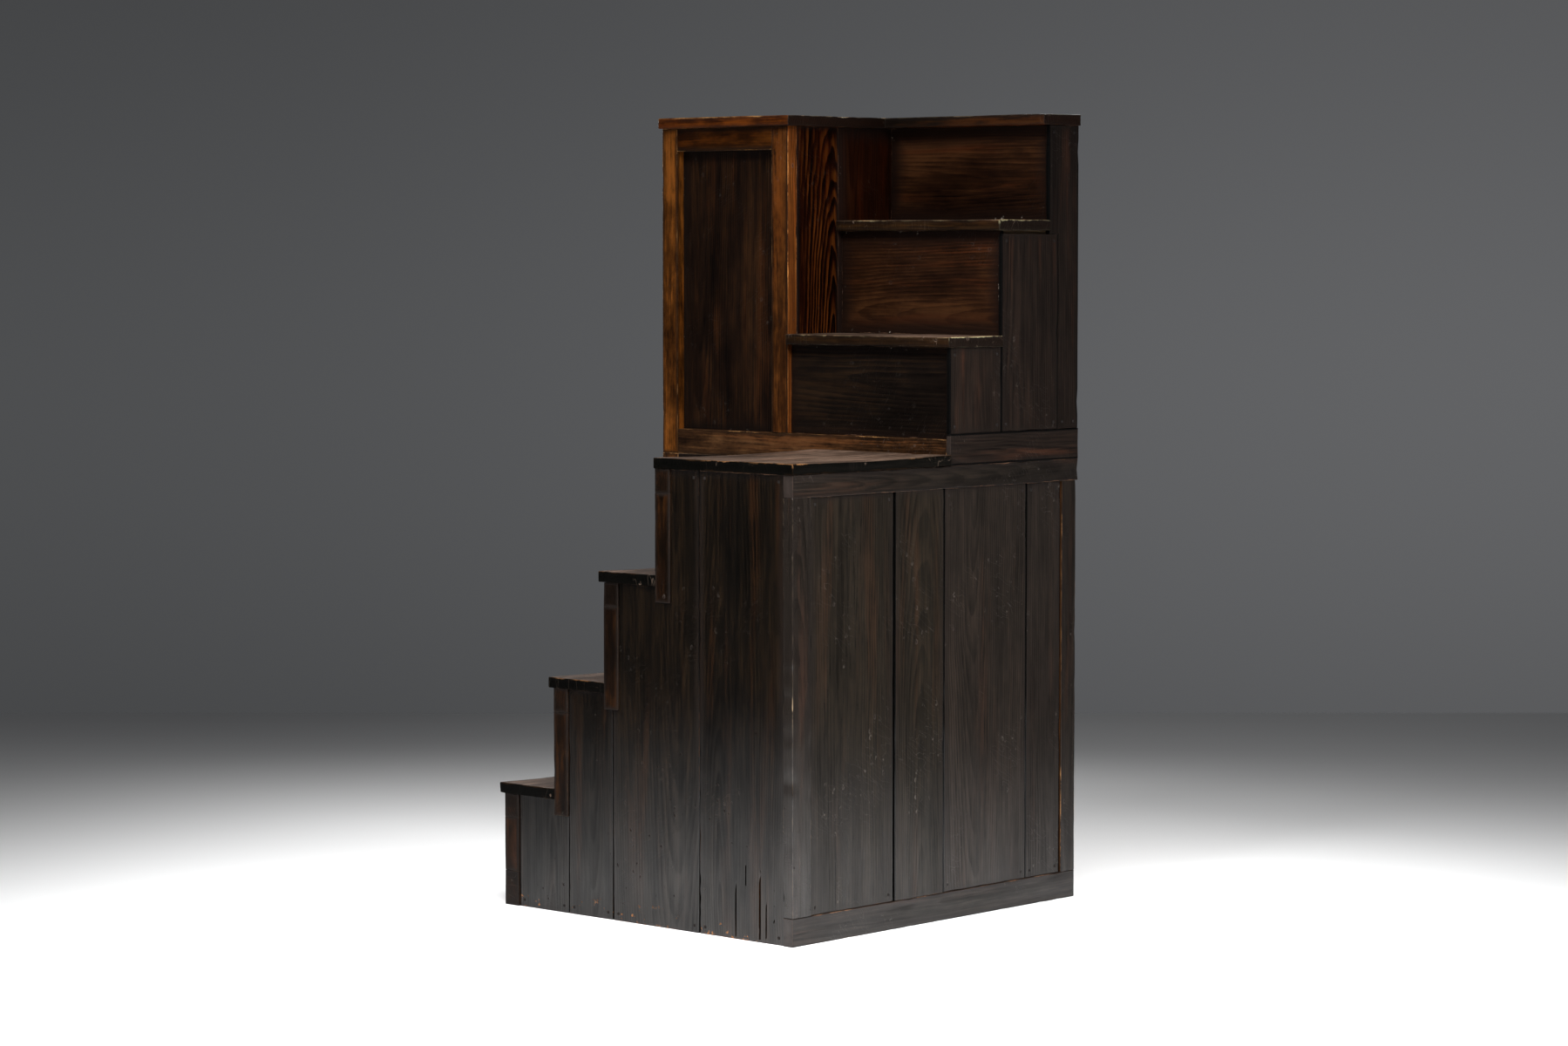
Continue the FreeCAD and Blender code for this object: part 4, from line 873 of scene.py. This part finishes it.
def hammeredNails(node):
    bm = bmesh.new()
    rng = random.Random(node)
    for solid in solidsOf(node):
        low, high = boxOf(solid.verts)
        solid.free()
        size, middle = high - low, (low + high) / 2
        out = Vector((-1, 0, 0)) if size.x < size.y else Vector((0, -1, 0))
        turn = out.to_track_quat("Z", "Y").to_matrix().to_4x4()
        twist = rng.uniform(-nailSetup["twist"], nailSetup["twist"])
        place = Matrix.Translation(middle) @ turn @ Matrix.Rotation(math.pi / 4 + twist, 4, "Z")
        head = bmesh.ops.create_cone(bm, cap_ends=True, segments=4, radius1=size.z * nailSetup["wide"],
                                     radius2=size.z * nailSetup["slope"], depth=nailSetup["rise"],
                                     matrix=place)
        edges = list(dict.fromkeys(edge for vert in head["verts"] for edge in vert.link_edges))
        bmesh.ops.bevel(bm, geom=edges, offset=nailSetup["ease"], offset_type="OFFSET", segments=1,
                        profile=0.5, affect="EDGES", material=-1)
    madePiece(node + "_hammered", shaded(bm, node + "_hammered", "nails"), node)


for node in ("drawer_near_pull_posts", "drawer_far_pull_posts"):
    forged(node, pullSetup["postEase"])
for node in ("lower_door_front_finger_cup", "lower_door_back_finger_cup",
             "upper_door_front_finger_cup", "upper_door_back_finger_cup"):
    forged(node, pullSetup["cupEase"])
for node in ("drawer_near_bail", "drawer_far_bail"):
    drawnBail(node)
hammeredNails("plank_nails")
print("iron done")


# Stage: pale floor, greyer towards its far side as painted light falloff, under a grey surround, soft
# lights

stageSetup = {
    "floorHalf": 4.8, "farEdge": 3.83, "edgeBlur": 0.04, "fadeStart": 3.3, "fadeEnd": 4.6,
    "floorColour": (0.96, 0.96, 0.96), "floorFar": (0.84, 0.84, 0.84), "darkens": (0.6, 3.6),
    "surroundLeft": (0.073, 0.075, 0.078), "surroundRight": (0.122, 0.124, 0.129), "turns": (-0.22, 0.2),
    "cloudTurns": 0.7, "cloudShare": 0.4, "roughness": 0.8,
    "glowDip": 0.035, "glowWide": 0.085, "glowFall": 0.9, "glowShare": 0.32,     # a lighter horizon
}
lightSetup = {
    # place: metres away from the camera, to its right and up, all from the floor under the chest's middle
    "foreground_light": {"place": (-2.2, 0.6, 3.0), "target": (-2.0, -2.1, 0), "size": (2.8, 1.6),
                         "power": 300, "spread": 150},
    "front_light": {"place": (-1.9, -1.3, 4.2), "target": (0, 0, 1.2), "size": (1.4, 1.4),
                    "power": 12, "spread": 60},
    "room_light": {"place": (5.0, 1.6, 2.6), "target": (0, 0, 0.9), "size": (1.6, 1.6),
                   "power": 20, "spread": 42},
    "end_light": {"place": (4.9, -2.3, 2.6), "target": (0, 0, 0.9), "size": (1.6, 1.6),
                  "power": 14, "spread": 42},
}
heading = math.radians(cameraSetup["heading"])
ahead = Vector((math.sin(heading), math.cos(heading), 0))
aside = Vector((math.cos(heading), -math.sin(heading), 0))


def stageFloor():
    bm = bmesh.new()
    bmesh.ops.create_grid(bm, x_segments=1, y_segments=1, size=stageSetup["floorHalf"])
    bmesh.ops.transform(bm, matrix=Matrix.Rotation(-heading, 4, "Z"), verts=bm.verts)
    mesh = bpy.data.meshes.new("floor")
    bm.to_mesh(mesh)
    bm.free()
    floor = bpy.data.objects.new("floor", mesh)
    bpy.context.scene.collection.objects.link(floor)
    paint = Finish(bpy.data.materials.new("pale_floor"))
    x, y, z = paint.parts(paint.node("ShaderNodeTexCoord", None, None, "Object"))
    away = x * ahead.x + y * ahead.y
    reach = paint.most(0 - away, paint.apply("ABSOLUTE", x * aside.x + y * aside.y))
    shade = paint.clouds(paint.vector(x, y, 0.0), stageSetup["cloudTurns"], 2.0)
    far, blur = stageSetup["farEdge"], stageSetup["edgeBlur"]
    solid = paint.between(reach, stageSetup["fadeEnd"], stageSetup["fadeStart"]) \
        * paint.between(away, far + blur, far - blur)
    # the floor greys away from the camera in cloudy patches: painted falloff of the light
    darker = paint.between(away + shade * stageSetup["cloudShare"], *stageSetup["darkens"])
    paint.finish(Base_Color=paint.blended(darker, stageSetup["floorColour"], stageSetup["floorFar"]),
                 Roughness=stageSetup["roughness"], Alpha=solid)
    mesh.materials.append(paint.owner)


def stageWorld():
    world = bpy.data.worlds.new("studio")
    bpy.context.scene.world = world
    paint = Finish(world, "Background")
    way = paint.node("ShaderNodeTexCoord", None, None, "Generated")
    x, y, z = paint.parts(way)
    right = paint.between(x * aside.x + y * aside.y, *stageSetup["turns"])
    level = (z + stageSetup["glowDip"]) / stageSetup["glowWide"]
    glow = paint.apply("EXPONENT", 0 - level * level * stageSetup["glowFall"])
    paint.finish(Color=paint.blended(right, stageSetup["surroundLeft"], stageSetup["surroundRight"]),
                 Strength=1 - stageSetup["glowShare"] + glow * stageSetup["glowShare"])


def softLight(name, place, target, size, power, spread):
    data = bpy.data.lights.new(name, "AREA")
    data.shape, data.size, data.size_y = "RECTANGLE", *size
    data.energy, data.spread = power, math.radians(spread)
    light = bpy.data.objects.new(name, data)
    light.location = ahead * place[0] + aside * place[1] + Vector((0, 0, place[2]))
    light.rotation_euler = (Vector(target) - light.location).to_track_quat("-Z", "Y").to_euler()
    light.visible_camera = False
    bpy.context.scene.collection.objects.link(light)


stageFloor()
stageWorld()
for name, values in lightSetup.items():
    softLight(name, **values)
print("stage ready")
